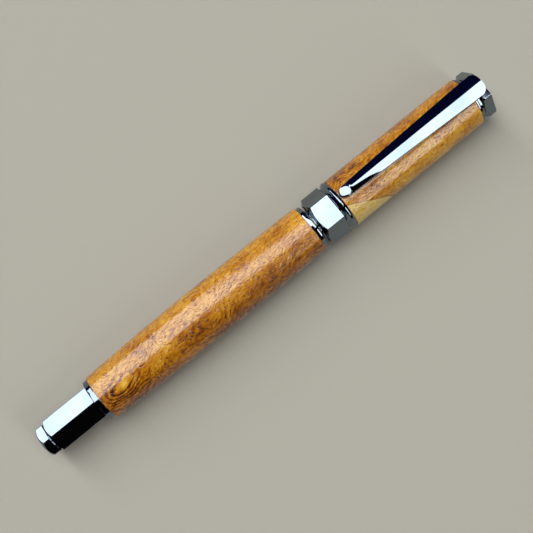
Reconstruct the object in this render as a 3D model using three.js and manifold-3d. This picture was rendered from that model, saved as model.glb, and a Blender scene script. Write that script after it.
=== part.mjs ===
// Capped rollerball pen: turned hardwood barrel and cap on brass tubes, with hexagonal plated fittings.
//
// Millimetres, +Z up. The pen lies along X with its finial towards +X and its clip on top. Its origin is
// under the middle of its box, on the surface that the trim ring rests on.
// Stations along the pen, called u, are measured from the joint face, where the grip section meets the
// barrel: the barrel is at u < 0 and the cap at u > 0. Profiles are lists of [u, radius].

import * as THREE from "three";
import { mergeVertices } from "three/addons/utils/BufferGeometryUtils.js";
import Module from "manifold-3d";

const wasm = await Module();
wasm.setup();

// ---- Driving dimensions --------------------------------------------------------------------------

// Clearances
const pressGap = 0.05; // round a piece that is pressed or glued in
const faceGap = 0.05; // between faces that meet end to end
const latheSpare = 0.05; // by which a lathe's cone passes a hexagon's corners, beyond its chamfer
const threadPlay = 0.12; // radial, between the threads of the section and the barrel
const refillPlay = 0.2; // radial, round the refill
const capPlay = 0.12; // radial, round the spigot that the cap slides on

// Refill
const refillLength = 110.5;
const refillRadius = 3.05;
const refillWall = 0.3;
const refillPlugLength = 6;
const refillPlugFlange = 1.5;
const noseLength = 9;
const noseRadius = 2.1;
const noseTaper = 1.2; // length of the nose's taper to the tip
const noseEndWall = 0.35; // of the nose round the tip
const nosePlugLength = 7;
const tipLength = 5.5;
const tipRadius = 1.15;
const tipRimRadius = 0.46;
const tipNeckLength = 2.6;
const tipStemLength = 6;
const tipStemRadius = 0.8;
const ballRadius = 0.35;
const ballPlay = 0.04;

// Grip section
const sectionLength = 38.4; // from the joint face to the mouth
const sectionFlangeLength = 0.9;
const sectionFlangeStep = 0.6; // how far the flange stands out of the spigot
const tipProtrusion = 3.2; // of the writing tip, beyond the mouth
const shankWall = 0.5; // under the thread
const gripBackStep = 0.1; // from the spigot down to the grip's back end
const gripLandLength = 2; // straight stretch at the grip's back end
const gripFrontWall = 1.15;
const gripLipLength = 2.4;
const gripLipRise = 0.3; // of the lip out of the waist
const gripMouthStep = 1; // from the waist in to the mouth's rim
const coreTubeWall = 1;
const coreTubeLength = 14;
const magnetLength = 2.5;
const magnetWall = 0.75;
const magnetInset = 0.5; // from the flange to the magnet

// Thread between the section and the barrel
const threadPitch = 1;
const threadDepth = 0.4;
const threadTurns = 6;
const threadRunout = 0.5; // plain stretch at each end of the thread

// Barrel
const barrelTubeWall = 0.4;
const couplerWall = 0.58;
const barrelRearWall = 1.18; // of the wood, at the end post
const barrelBellyWall = 1.83; // of the wood, where it is fullest
const barrelFrontWall = 1.45; // of the wood, at the grip section
const bellyShare = 0.49; // place of the belly, as a share of the wood's length
const frontRingLength = 1.3;
const frontRingStep = 0.5; // from the wood's surface down to the ring
const frontRingChamfer = 0.22;
const endRingLength = 1.5;
const endRingStep = 0.48;
const endCouplerLength = 7;

// End post
const springLength = 8.5; // as fitted
const springWire = 0.22; // radius of the wire
const springCoils = 6;
const springClearance = 0.45; // round the spring, in its pocket
const springPocketDepth = 5.4;
const postGap = 0.2; // shadow line between the ring and the post
const postLength = 14.3;
const postWall = 1.3; // from the spring's pocket to the flats
const postChamfer = 0.8;
const postStudWall = 0.9;
const postStudLength = 5;
const postMagnetRadius = 2.8;
const postMagnetLength = 3;
const postTipNeckLength = 0.6;
const postTipNeckStep = 0.45; // from the button's flats down to its neck
const postTipLength = 2.2;
const postTipStep = 0.65; // from the post's corners down to the button's
const postTipChamfer = 0.9;
const postTipStemLength = 2.6;

// Cap
const bandLength = 6.04;
const bandWall = 0.46; // of the band's flats, outside the cap magnet
const bandChamfer = 1.1;
const bandEndStep = 0.12; // from the band's flats down to the round of its back end
const bandShankWall = 0.55;
const bandShankLength = 6;
const capMagnetWall = 0.55;
const trimRingLength = 2.1;
const trimRingRise = 0.15; // how far the ring stands out of the wood
const trimHollowDepth = 0.95; // of the hollow behind its bead
const trimHollowShare = 0.42; // of the ring's length
const trimBeadEdge = 0.3; // chamfers of the bead
const capTubeWall = 0.4;
const capWoodWall = 0.93; // next to the trim ring
const capEndWall = 0.85; // next to the clip ring
const capFreeLength = 4.7; // in front of the writing tip
const linerBase = 1;
const linerGap = 0.15; // from the spigot's radius out to the liner's mouth
const linerMouthStep = 0.4; // from the liner's mouth in to its bore
const linerLap = 8; // of the liner over the grip
const linerLead = 1; // length of the taper in the liner's mouth
const plugLength = 4.5;
const screwHolePlay = 0.15;
const screwHeadPlay = 0.2;
const screwHeadSink = 0.3; // of the screw's head below the plug's face

// Clip, finial and the screw that holds them
const clipRingLength = 0.7;
const clipRingStep = 0.35; // from the wood's surface down to the ring
const clipRiserWidth = 4;
const clipGap = 0.42; // between the wood and the clip's underside, at the riser
const clipRise = 0.3; // of the arm's middle above its root
const clipDrop = 0.1; // of its tip below its root
const clipThickness = 1.35;
const clipRidge = 0.6; // of the crest above the long edges
const clipPadHeight = 1.9; // of the pad at its tip
const clipPadGap = 0.1; // between the pad and the wood
const clipRootWidth = 6.3;
const clipTipWidth = 3.2;
const clipHeadOverhang = 0.5; // short of the finial's end face
const clipHeadRound = 2.1;
const clipTurn = 8; // degrees about the axis, towards +Y
const finialTurn = 5;
const finialNeckLength = 0.75;
const finialNeckStep = 0.5; // from the finial's flats down to its neck
const finialConeLength = 1.05;
const finialConeStep = 0.3; // from the neck up to the cone
const finialHexLength = 2;
const finialStep = 0.03; // from the wood's surface down to the finial's corners
const finialHeadGap = 0.45; // under the clip's head
const finialBossRadius = 2.6;
const finialEdge = 0.25;
const screwRadius = 1.5;
const screwHeadRadius = 2.8;
const screwHeadLength = 1.6;
const screwHeadEdge = 0.5;
const screwGrip = 3.2; // length of the screw inside the finial
const screwHoleSpare = 0.3; // of the finial's hole beyond the screw
const screwSlotWidth = 0.6;
const screwSlotDepth = 0.7;

// Fineness of the round surfaces
const roundSteps = 36;
const innerSteps = 24;
const hexSteps = 6;
const threadRows = 5; // for each turn

// ---- Derived places and radii --------------------------------------------------------------------

const apothemShare = Math.cos(Math.PI / hexSteps);

// Radii, from the refill outwards
const refillBore = refillRadius + refillPlay;
const threadRoot = refillBore + shankWall;
const threadCrest = threadRoot + threadDepth;
const couplerRadius = threadCrest + threadPlay + couplerWall;
const barrelTubeBore = couplerRadius + pressGap;
const barrelTubeRadius = barrelTubeBore + barrelTubeWall;
const barrelWoodBore = barrelTubeRadius + pressGap;
const barrelRearRadius = barrelWoodBore + barrelRearWall;
const barrelBellyRadius = barrelWoodBore + barrelBellyWall;
const barrelFrontRadius = barrelWoodBore + barrelFrontWall;
const coreTubeRadius = refillBore + coreTubeWall;
const magnetBore = coreTubeRadius + pressGap;
const spigotRadius = magnetBore + magnetWall;
const capMagnetBore = spigotRadius + capPlay;
const capMagnetRadius = capMagnetBore + capMagnetWall;
const magnetPocket = capMagnetRadius + pressGap;
const bandRadius = (magnetPocket + bandWall) / apothemShare;
const bandShankRadius = capMagnetBore + bandShankWall;
const capTubeBore = bandShankRadius + pressGap;
const capTubeRadius = capTubeBore + capTubeWall;
const capWoodBore = capTubeRadius + pressGap;
const capWoodRadius = capWoodBore + capWoodWall;
const capEndRadius = capWoodBore + capEndWall;
const trimRingRadius = capWoodRadius + trimRingRise;
const gripFrontRadius = noseRadius + refillPlay + gripFrontWall;
const postStudRadius = refillBore + postStudWall;
const postRadius = (refillBore + postWall) / apothemShare;
const postTipRadius = postRadius - postTipStep;
const postTipNeckRadius = postTipRadius * apothemShare - postTipNeckStep;
const clipRingRadius = capEndRadius - clipRingStep;
const clipHeight = capWoodRadius + clipGap; // of the clip's underside above the axis, at the riser
const finialRadius = capEndRadius - finialStep;
const finialNeckRadius = finialRadius * apothemShare - finialNeckStep;

// Stations of the refill
const tipEnd = sectionLength + tipProtrusion;
const refillBack = tipEnd - refillLength;
const refillTubeBack = refillBack + refillPlugFlange;
const tipShoulder = tipEnd - tipLength;
const refillShoulder = tipShoulder - noseLength;
const ballCentre = tipEnd - ballRadius;

// Stations of the grip section
const threadBack = -threadTurns * threadPitch;
const sectionMagnetBack = sectionFlangeLength + magnetInset;
const sectionMagnetFront = sectionMagnetBack + magnetLength;
const gripBack = sectionMagnetFront + faceGap;

// Stations of the barrel
const springSeat = refillBack - springLength;
const postFront = springSeat + springPocketDepth;
const postBack = postFront - postLength;
const postTipFront = postBack - postTipNeckLength;
const penBack = postTipFront - postTipLength;
const endRingBack = postFront + postGap;
const barrelWoodBack = endRingBack + endRingLength + faceGap;
const barrelWoodFront = -frontRingLength - faceGap;

// Stations of the cap
const bandBack = sectionFlangeLength + faceGap;
const bandFront = bandBack + bandLength;
const capMagnetBack = bandBack + magnetInset;
const capMagnetFront = capMagnetBack + magnetLength;
const trimRingBack = bandFront + faceGap;
const capWoodBack = trimRingBack + trimRingLength + faceGap;
const linerInnerEnd = tipEnd + capFreeLength;
const linerEnd = linerInnerEnd + linerBase;
const plugBack = linerEnd + faceGap;
const capWoodFront = plugBack + plugLength;
const clipRingBack = capWoodFront + faceGap;
const finialBack = clipRingBack + clipRingLength + faceGap;
const finialCone = finialBack + finialNeckLength;
const finialHex = finialCone + finialConeLength;
const penFront = finialHex + finialHexLength;
const clipTip = capWoodBack;
const clipEnd = penFront - clipHeadOverhang;

// Place of the pen in its own frame: the trim ring lies on one of its facets.
const penMiddle = (penBack + penFront) / 2;
const axisHeight = trimRingRadius * Math.cos(Math.PI / roundSteps);

// ---- Making solids -------------------------------------------------------------------------------

// A profile of [u, radius] turned about the pen's axis, with a facet or a corner on top.
function turned(profile, steps = roundSteps, cornerUp = false) {
  const points = profile.map(([u, radius]) => new THREE.Vector2(radius, u));
  const start = cornerUp ? 0 : Math.PI / steps;
  return new THREE.LatheGeometry(points, steps, start, Math.PI * 2).rotateZ(-Math.PI / 2);
}

// A solid of revolution whose outline, from the back to the front, is given by its outer points.
function turnedBar(outer, steps, cornerUp) {
  const [backU] = outer[0];
  const [frontU] = outer[outer.length - 1];
  return turned([[backU, 0], ...outer, [frontU, 0]], steps, cornerUp);
}

// A hollow one: its outer points run from back to front and its bore's points from front to back.
function turnedShell(outer, bore, steps) {
  return turned([...outer, ...bore, outer[0]], steps);
}

// A plain ring or tube.
function tube(back, front, outerRadius, boreRadius, steps) {
  return turnedShell(
    [[back, outerRadius], [front, outerRadius]],
    [[front, boreRadius], [back, boreRadius]],
    steps,
  );
}

function solidOf(geometry) {
  const bare = geometry.index ? geometry.clone() : geometry;
  bare.deleteAttribute("normal");
  bare.deleteAttribute("uv");
  const merged = mergeVertices(bare, 1e-4);
  return new wasm.Manifold(
    new wasm.Mesh({
      numProp: 3,
      vertProperties: merged.attributes.position.array,
      triVerts: new Uint32Array(merged.index.array),
    }),
  );
}

function geometryOf(solid) {
  const mesh = solid.getMesh();
  return new THREE.BufferGeometry()
    .setAttribute("position", new THREE.BufferAttribute(mesh.vertProperties, 3))
    .setIndex(new THREE.BufferAttribute(mesh.triVerts, 1));
}

// Ridge of the screw thread at a station and an angle: its wave, from 0 in the root to 1 on the crest,
// and its fade, which is 0 at both ends of the thread and 1 from half a turn inwards.
function ridge(u, angle, back, front) {
  const wave = 0.5 + 0.5 * Math.cos(2 * Math.PI * (u / threadPitch) - angle);
  const fade = THREE.MathUtils.clamp((2 * Math.min(u - back, front - u)) / threadPitch, 0, 1);
  return { wave, fade };
}

// Evenly spaced points along a stretch that a thread is then cut on.
function threadStretch(back, front, radius) {
  const rows = Math.round(((front - back) / threadPitch) * threadRows);
  return Array.from({ length: rows + 1 }, (_, i) => [back + ((front - back) * i) / rows, radius]);
}

// Moves the points of a turned surface to a helical thread. An outer thread stands out of its root by
// its ridge; an inner one stands into its bore between the ridges, so that one screws into the other.
function cutThread(geometry, back, front, radius, inner) {
  const position = geometry.getAttribute("position");
  for (let i = 0; i < position.count; i++) {
    const u = position.getX(i);
    const r = Math.hypot(position.getY(i), position.getZ(i));
    if (Math.abs(r - radius) > 1e-3 || u < back - 1e-3 || u > front + 1e-3) continue;
    const { wave, fade } = ridge(u, Math.atan2(position.getZ(i), position.getY(i)), back, front);
    const moved = inner ? radius - threadDepth * fade * (1 - wave) : radius + threadDepth * fade * wave;
    position.setY(i, (position.getY(i) * moved) / r);
    position.setZ(i, (position.getZ(i) * moved) / r);
  }
  return geometry;
}

// ---- Materials -----------------------------------------------------------------------------------

function finish(color, roughness, metalness) {
  return new THREE.MeshStandardMaterial({ color, roughness, metalness });
}

const hardwood = finish(0xb06a24, 0.35, 0);
const blackNickel = finish(0x3b3c44, 0.12, 1);
const brass = finish(0xc9a24e, 0.35, 1);
const magnetPlate = finish(0xb9bcc2, 0.2, 1);
const springSteel = finish(0x9da1a6, 0.3, 1);
const refillSteel = finish(0xc4c7cc, 0.25, 1);
const blackPlastic = finish(0x1a1b1e, 0.5, 0);
const whitePlastic = finish(0xe4e2da, 0.5, 0);
const inkFibre = finish(0x1d2a63, 0.9, 0);
const carbide = finish(0x8c8f94, 0.15, 1);

function part(name, geometry, material) {
  const mesh = new THREE.Mesh(geometry, material);
  mesh.name = name;
  return mesh;
}

// ---- Barrel --------------------------------------------------------------------------------------

// The wood swells from both ends to its belly, along two quarter waves.
function barrelWoodRadius(u) {
  const belly = THREE.MathUtils.lerp(barrelWoodBack, barrelWoodFront, bellyShare);
  const [end, endRadius] =
    u < belly ? [barrelWoodBack, barrelRearRadius] : [barrelWoodFront, barrelFrontRadius];
  const share = (u - belly) / (end - belly);
  return endRadius + (barrelBellyRadius - endRadius) * Math.cos((share * Math.PI) / 2);
}

function barrelWoodSleeve() {
  const steps = 10;
  const outer = Array.from({ length: steps + 1 }, (_, i) => {
    const u = THREE.MathUtils.lerp(barrelWoodBack, barrelWoodFront, i / steps);
    return [u, barrelWoodRadius(u)];
  });
  const bore = [[barrelWoodFront, barrelWoodBore], [barrelWoodBack, barrelWoodBore]];
  return part("barrel_wood_sleeve", turnedShell(outer, bore), hardwood);
}

function barrelBrassTube() {
  return part(
    "barrel_brass_tube",
    tube(barrelWoodBack, barrelWoodFront, barrelTubeRadius, barrelTubeBore),
    brass,
  );
}

// Ring in front of the wood, with the plug behind it that the section screws into.
function barrelFrontCoupler() {
  const ringRadius = barrelFrontRadius - frontRingStep;
  const grooveBack = threadBack - threadRunout;
  const grooveFront = -threadRunout;
  const plugBack = grooveBack - threadRunout;
  const boreRadius = threadCrest + threadPlay;
  const geometry = turnedShell(
    [
      [plugBack, couplerRadius],
      [-frontRingLength, couplerRadius],
      [-frontRingLength, ringRadius],
      [-frontRingChamfer, ringRadius],
      [0, ringRadius - frontRingChamfer],
    ],
    [
      [0, boreRadius],
      ...threadStretch(grooveBack, grooveFront, boreRadius).reverse(),
      [plugBack, boreRadius],
    ],
    innerSteps,
  );
  cutThread(geometry, grooveBack, grooveFront, boreRadius, true);
  return part("barrel_front_coupler", geometry, blackNickel);
}

// Ring behind the wood, with the plug that holds the end post's stud.
function barrelEndCoupler() {
  const ringRadius = barrelRearRadius - endRingStep;
  const boreRadius = postStudRadius + pressGap;
  const ringFront = endRingBack + endRingLength;
  const geometry = turnedShell(
    [
      [endRingBack, ringRadius],
      [ringFront, ringRadius],
      [ringFront, couplerRadius],
      [endRingBack + endCouplerLength, couplerRadius],
    ],
    [[endRingBack + endCouplerLength, boreRadius], [endRingBack, boreRadius]],
  );
  return part("barrel_end_coupler", geometry, blackNickel);
}

// A hexagonal bar with its corner up, chamfered on the lathe at its back end.
function chamferedHex(back, front, radius, chamfer) {
  const hex = solidOf(turnedBar([[back, radius], [front, radius]], hexSteps, true));
  const cone = solidOf(
    turnedBar([
      [back, radius * apothemShare - chamfer / 3],
      [back + chamfer, radius + latheSpare],
      [front, radius + latheSpare],
    ]),
  );
  return hex.intersect(cone);
}

// Hexagonal post with the spring's pocket in front, a magnet's pocket at the back and a hollow stud.
function endPost() {
  const studFront = postFront + postStudLength;
  const pocketFloor = postBack + postTipStemLength + postMagnetLength + 2 * faceGap;
  const stud = turnedBar([[postFront - 1, postStudRadius], [studFront, postStudRadius]]);
  const springPocket = turnedBar([[springSeat, refillBore], [studFront + 1, refillBore]], innerSteps);
  const magnetRecess = turnedBar(
    [[postBack - 1, postMagnetRadius + pressGap], [pocketFloor, postMagnetRadius + pressGap]],
    innerSteps,
  );
  const solid = chamferedHex(postBack, postFront, postRadius, postChamfer)
    .add(solidOf(stud))
    .subtract(solidOf(springPocket))
    .subtract(solidOf(magnetRecess));
  return part("end_post", geometryOf(solid), blackNickel);
}

function postMagnet() {
  const back = postBack + postTipStemLength + faceGap;
  const geometry = turnedBar(
    [[back, postMagnetRadius], [back + postMagnetLength, postMagnetRadius]],
    innerSteps,
  );
  return part("post_magnet", geometry, magnetPlate);
}

// Small hexagonal button that closes the magnet's pocket.
function postTip() {
  const button = chamferedHex(penBack, postTipFront, postTipRadius, postTipChamfer);
  const neckAndStem = turnedBar(
    [
      [postTipFront - 0.5, postTipNeckRadius],
      [postBack - faceGap, postTipNeckRadius],
      [postBack - faceGap, postMagnetRadius],
      [postBack + postTipStemLength, postMagnetRadius],
    ],
    innerSteps,
  );
  return part("post_tip", geometryOf(button.add(solidOf(neckAndStem))), blackNickel);
}

// Spring that pushes the refill forwards against its seat in the grip.
class Helix extends THREE.Curve {
  constructor(back, front, radius, coils) {
    super();
    Object.assign(this, { back, front, radius, coils });
  }

  getPoint(t, target = new THREE.Vector3()) {
    const angle = t * this.coils * 2 * Math.PI;
    const u = THREE.MathUtils.lerp(this.back, this.front, t);
    return target.set(u, this.radius * Math.cos(angle), this.radius * Math.sin(angle));
  }
}

function refillSpring() {
  const wireRoom = springWire + 2 * faceGap;
  const coilRadius = refillBore - springClearance - springWire;
  const path = new Helix(springSeat + wireRoom, refillBack - wireRoom, coilRadius, springCoils);
  const section = new THREE.Shape().absarc(0, 0, springWire, 0, 2 * Math.PI);
  const geometry = new THREE.ExtrudeGeometry(section, {
    curveSegments: 3,
    steps: springCoils * 10,
    extrudePath: path,
  });
  return part("refill_spring", geometry, springSteel);
}

// ---- Refill --------------------------------------------------------------------------------------

function refillTube() {
  return part(
    "refill_tube",
    tube(refillTubeBack, refillShoulder, refillRadius, refillRadius - refillWall, innerSteps),
    refillSteel,
  );
}

function refillEndPlug() {
  const stemRadius = refillRadius - refillWall - pressGap;
  const geometry = turnedBar(
    [
      [refillBack, refillRadius],
      [refillTubeBack - faceGap, refillRadius],
      [refillTubeBack - faceGap, stemRadius],
      [refillBack + refillPlugLength, stemRadius],
    ],
    innerSteps,
  );
  return part("refill_end_plug", geometry, blackPlastic);
}

// Fibre rod that holds the ink, between the two plugs.
function inkReservoir() {
  const radius = refillRadius - refillWall - 2 * pressGap;
  const back = refillBack + refillPlugLength + faceGap;
  const front = refillShoulder - nosePlugLength - faceGap;
  return part("ink_reservoir", turnedBar([[back, radius], [front, radius]], innerSteps), inkFibre);
}

// Plastic nose, plugged into the tube, with the steel tip's socket through it.
function refillNose() {
  const plugRadius = refillRadius - refillWall - pressGap;
  const socket = tipStemRadius + pressGap;
  const geometry = turnedShell(
    [
      [refillShoulder - nosePlugLength, plugRadius],
      [refillShoulder + faceGap, plugRadius],
      [refillShoulder + faceGap, noseRadius],
      [tipShoulder - noseTaper, noseRadius],
      [tipShoulder, tipRadius + noseEndWall],
    ],
    [[tipShoulder, socket], [refillShoulder - nosePlugLength, socket]],
    innerSteps,
  );
  return part("refill_nose", geometry, blackPlastic);
}

// Steel tip: a stem in the nose, a straight neck and a cone that ends at the ball's widest place.
function refillTip() {
  const base = tipShoulder + faceGap;
  const geometry = turned(
    [
      [base - tipStemLength, 0],
      [base - tipStemLength, tipStemRadius],
      [base, tipStemRadius],
      [base, tipRadius],
      [base + tipNeckLength, tipRadius],
      [ballCentre, tipRimRadius],
      [ballCentre, ballRadius + ballPlay],
      [ballCentre - ballRadius - ballPlay, ballRadius + ballPlay],
      [ballCentre - ballRadius - ballPlay, 0],
    ],
    innerSteps,
  );
  return part("refill_tip", geometry, refillSteel);
}

function writingBall() {
  const geometry = new THREE.SphereGeometry(ballRadius, 12, 8);
  const mesh = part("writing_ball", geometry, carbide);
  mesh.position.x = ballCentre;
  return mesh;
}

// ---- Grip section --------------------------------------------------------------------------------

// Threaded shank, flange and core tube in one piece.
function sectionCollar() {
  const flangeRadius = spigotRadius + sectionFlangeStep;
  const geometry = turnedShell(
    [
      ...threadStretch(threadBack, -threadRunout, threadRoot),
      [faceGap, threadRoot],
      [faceGap, flangeRadius],
      [sectionFlangeLength, flangeRadius],
      [sectionFlangeLength, coreTubeRadius],
      [coreTubeLength, coreTubeRadius],
    ],
    [[coreTubeLength, refillBore], [threadBack, refillBore]],
    innerSteps,
  );
  cutThread(geometry, threadBack, -threadRunout, threadRoot, false);
  return part("section_collar", geometry, blackNickel);
}

function sectionMagnetRing() {
  return part(
    "section_magnet_ring",
    tube(sectionMagnetBack, sectionMagnetFront, spigotRadius, magnetBore, innerSteps),
    magnetPlate,
  );
}

// Waisted grip that ends in a small lip, with the refill's seat inside.
function gripSleeve() {
  const backRadius = spigotRadius - gripBackStep;
  const lipBack = sectionLength - gripLipLength;
  const seat = refillShoulder + 2 * faceGap;
  const steps = 10;
  const waist = Array.from({ length: steps + 1 }, (_, i) => {
    const t = i / steps;
    const u = THREE.MathUtils.lerp(gripBack + gripLandLength, lipBack, t);
    return [u, THREE.MathUtils.lerp(backRadius, gripFrontRadius, Math.sin((t * Math.PI) / 2) ** 1.4)];
  });
  const geometry = turnedShell(
    [
      [gripBack, backRadius],
      ...waist,
      [lipBack + gripLipLength * 0.3, gripFrontRadius + gripLipRise],
      [sectionLength - gripLipLength * 0.25, gripFrontRadius - gripMouthStep * 0.25],
      [sectionLength, gripFrontRadius - gripMouthStep],
    ],
    [
      [sectionLength, tipRadius + refillPlay],
      [tipShoulder + 3 * faceGap, tipRadius + refillPlay],
      [tipShoulder + 3 * faceGap, noseRadius + refillPlay],
      [seat, noseRadius + refillPlay],
      [seat, refillBore],
      [coreTubeLength + faceGap, refillBore],
      [coreTubeLength + faceGap, coreTubeRadius + pressGap],
      [gripBack, coreTubeRadius + pressGap],
    ],
    innerSteps,
  );
  return part("grip_sleeve", geometry, blackNickel);
}

// ---- Cap -----------------------------------------------------------------------------------------

// Hexagonal band, chamfered on the lathe where the cap opens, with the magnet's pocket in its mouth
// and a round shank that carries the trim ring and holds in the cap's tube.
function centreBandHex() {
  const hex = solidOf(turnedBar([[bandBack, bandRadius], [bandFront, bandRadius]], hexSteps));
  const cone = solidOf(
    turnedBar([
      [bandBack, bandRadius * apothemShare - bandEndStep],
      [bandBack + bandChamfer, bandRadius + latheSpare],
      [bandFront, bandRadius + latheSpare],
    ]),
  );
  const shankFront = bandFront + bandShankLength;
  const shank = turnedBar([[bandFront - 1, bandShankRadius], [shankFront, bandShankRadius]]);
  const pocket = turnedBar([[bandBack - 1, magnetPocket], [capMagnetFront + faceGap, magnetPocket]]);
  const bore = turnedBar([[bandBack - 2, capMagnetBore], [shankFront + 1, capMagnetBore]]);
  const solid = hex
    .intersect(cone)
    .add(solidOf(shank))
    .subtract(solidOf(pocket))
    .subtract(solidOf(bore));
  return part("centre_band_hex", geometryOf(solid), blackNickel);
}

function capMagnetRing() {
  return part(
    "cap_magnet_ring",
    tube(capMagnetBack, capMagnetFront, capMagnetRadius, capMagnetBore),
    magnetPlate,
  );
}

// Ring with a hollow behind a full round bead, between the band and the wood.
function capTrimRing() {
  const beadBack = trimRingBack + trimRingLength * trimHollowShare;
  const front = trimRingBack + trimRingLength;
  const hollowRadius = trimRingRadius - trimHollowDepth;
  const outer = [
    [trimRingBack, hollowRadius + 0.1],
    [trimRingBack + 0.3, hollowRadius],
    [beadBack, trimRingRadius - trimBeadEdge],
    [beadBack + trimBeadEdge, trimRingRadius],
    [front - 1.5 * trimBeadEdge, trimRingRadius],
    [front, trimRingRadius - trimBeadEdge / 1.5],
  ];
  const boreRadius = bandShankRadius + pressGap;
  const bore = [[front, boreRadius], [trimRingBack, boreRadius]];
  return part("cap_trim_ring", turnedShell(outer, bore), blackNickel);
}

function capWoodSleeve() {
  const steps = 6;
  const outer = Array.from({ length: steps + 1 }, (_, i) => {
    const t = i / steps;
    const radius = THREE.MathUtils.lerp(capWoodRadius, capEndRadius, t * t);
    return [THREE.MathUtils.lerp(capWoodBack, capWoodFront, t), radius];
  });
  const bore = [[capWoodFront, capWoodBore], [capWoodBack, capWoodBore]];
  return part("cap_wood_sleeve", turnedShell(outer, bore), hardwood);
}

function capBrassTube() {
  return part(
    "cap_brass_tube",
    tube(capWoodBack, capWoodFront, capTubeRadius, capTubeBore),
    brass,
  );
}

// Inner cap: a plastic cup that closes round the front of the grip and keeps the tip from drying.
function capInnerLiner() {
  const back = sectionLength - linerLap;
  const outerRadius = capTubeBore - pressGap;
  const mouth = spigotRadius + linerGap;
  const cup = mouth - linerMouthStep;
  const geometry = turned([
    [back, outerRadius],
    [linerEnd, outerRadius],
    [linerEnd, 0],
    [linerInnerEnd, 0],
    [linerInnerEnd, cup],
    [back + linerLead, cup],
    [back, mouth],
    [back, outerRadius],
  ]);
  return part("cap_inner_liner", geometry, whitePlastic);
}

// Bush pressed in the closed end of the cap's tube, counterbored for the screw's head.
function capPlug() {
  const hole = screwRadius + screwHolePlay;
  const recess = screwHeadRadius + screwHeadPlay;
  const recessFloor = plugBack + screwHeadLength + screwHeadSink;
  const outerRadius = capTubeBore - pressGap;
  const geometry = turnedShell(
    [[plugBack, outerRadius], [capWoodFront, outerRadius]],
    [[capWoodFront, hole], [recessFloor, hole], [recessFloor, recess], [plugBack, recess]],
    innerSteps,
  );
  return part("cap_plug", geometry, brass);
}

function capScrew() {
  const headBack = plugBack + screwHeadSink - faceGap;
  const headFront = headBack + screwHeadLength;
  const shaftFront = finialBack + screwGrip;
  const bar = turnedBar(
    [
      [headBack, screwHeadRadius - screwHeadEdge],
      [headBack + screwHeadEdge, screwHeadRadius],
      [headFront, screwHeadRadius],
      [headFront, screwRadius],
      [shaftFront, screwRadius],
    ],
    innerSteps,
  );
  const slot = new THREE.BoxGeometry(2 * screwSlotDepth, 3 * screwHeadRadius, screwSlotWidth);
  slot.translate(headBack, 0, 0);
  return part("cap_screw", geometryOf(solidOf(bar).subtract(solidOf(slot))), refillSteel);
}

// ---- Clip and finial, turned together on the cap -------------------------------------------------

// Washer under the finial, with the riser that carries the clip.
function clipRing() {
  const front = clipRingBack + clipRingLength;
  const ring = solidOf(
    tube(clipRingBack, front, clipRingRadius, finialBossRadius + pressGap),
  );
  const riserTop = clipHeight - 2 * faceGap;
  const riserHeight = riserTop - clipRingRadius / 2;
  const riser = new THREE.BoxGeometry(clipRingLength, clipRiserWidth, riserHeight);
  riser.translate((clipRingBack + front) / 2, 0, riserTop - riserHeight / 2);
  return part("clip_ring", geometryOf(ring.add(solidOf(riser))), blackNickel);
}

// Line of the clip's underside, from its end over the finial to its tip.
function clipLine() {
  const riser = clipRingBack + clipRingLength / 2;
  const bend = riser - 4;
  const middle = THREE.MathUtils.lerp(clipTip, bend, 0.5);
  return new THREE.CatmullRomCurve3(
    [
      [clipEnd, 0],
      [riser, 0],
      [bend, 0.05],
      [middle, clipRise],
      [clipTip + 4, clipRise * 0.4],
      [clipTip, -clipDrop],
    ].map(([u, rise]) => new THREE.Vector3(u, 0, clipHeight + rise)),
  );
}

// Plan of the clip: rounded at the finial, tapering to a round tip.
function clipPlan() {
  const root = clipRootWidth / 2;
  const tip = clipTipWidth / 2;
  const shape = new THREE.Shape();
  shape.moveTo(clipTip + tip, -tip);
  shape.lineTo(clipRingBack, -root);
  shape.lineTo(clipEnd - clipHeadRound, -root);
  shape.absarc(clipEnd - clipHeadRound, clipHeadRound - root, clipHeadRound, -Math.PI / 2, 0);
  shape.absarc(clipEnd - clipHeadRound, root - clipHeadRound, clipHeadRound, 0, Math.PI / 2);
  shape.lineTo(clipRingBack, root);
  shape.lineTo(clipTip + tip, tip);
  shape.absarc(clipTip + tip, 0, tip, Math.PI / 2, (3 * Math.PI) / 2);
  const depth = 2 * clipHeight;
  return new THREE.ExtrudeGeometry(shape, { depth, bevelEnabled: false, curveSegments: 6 });
}

// Ridged bar swept along the clip's line and cut to its plan, with a head that fills the space over
// the finial and a rounded pad at the tip.
function clipArm() {
  const half = clipRootWidth / 2 + 1;
  const section = new THREE.Shape([
    new THREE.Vector2(-half, 0),
    new THREE.Vector2(half, 0),
    new THREE.Vector2(half, clipThickness - clipRidge),
    new THREE.Vector2(0, clipThickness),
    new THREE.Vector2(-half, clipThickness - clipRidge),
  ]);
  const bar = new THREE.ExtrudeGeometry(section, { steps: 24, extrudePath: clipLine() });
  const headBack = finialBack + 2 * faceGap;
  const headFloor = finialRadius * apothemShare + finialHeadGap;
  const headHeight = clipHeight + 0.5 - headFloor;
  const head = new THREE.BoxGeometry(clipEnd - headBack, clipRootWidth - 1, headHeight);
  head.translate((clipEnd + headBack) / 2, 0, headFloor + headHeight / 2);
  const padRadius = clipTipWidth / 2;
  const pad = new THREE.SphereGeometry(padRadius, 12, 8);
  pad.scale(1, 1, clipPadHeight / clipTipWidth);
  pad.translate(clipTip + padRadius, 0, capWoodRadius + clipPadGap + clipPadHeight / 2);
  const solid = solidOf(bar)
    .add(solidOf(head))
    .intersect(solidOf(clipPlan()))
    .add(solidOf(pad));
  return part("clip_arm", geometryOf(solid), blackNickel);
}

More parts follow.
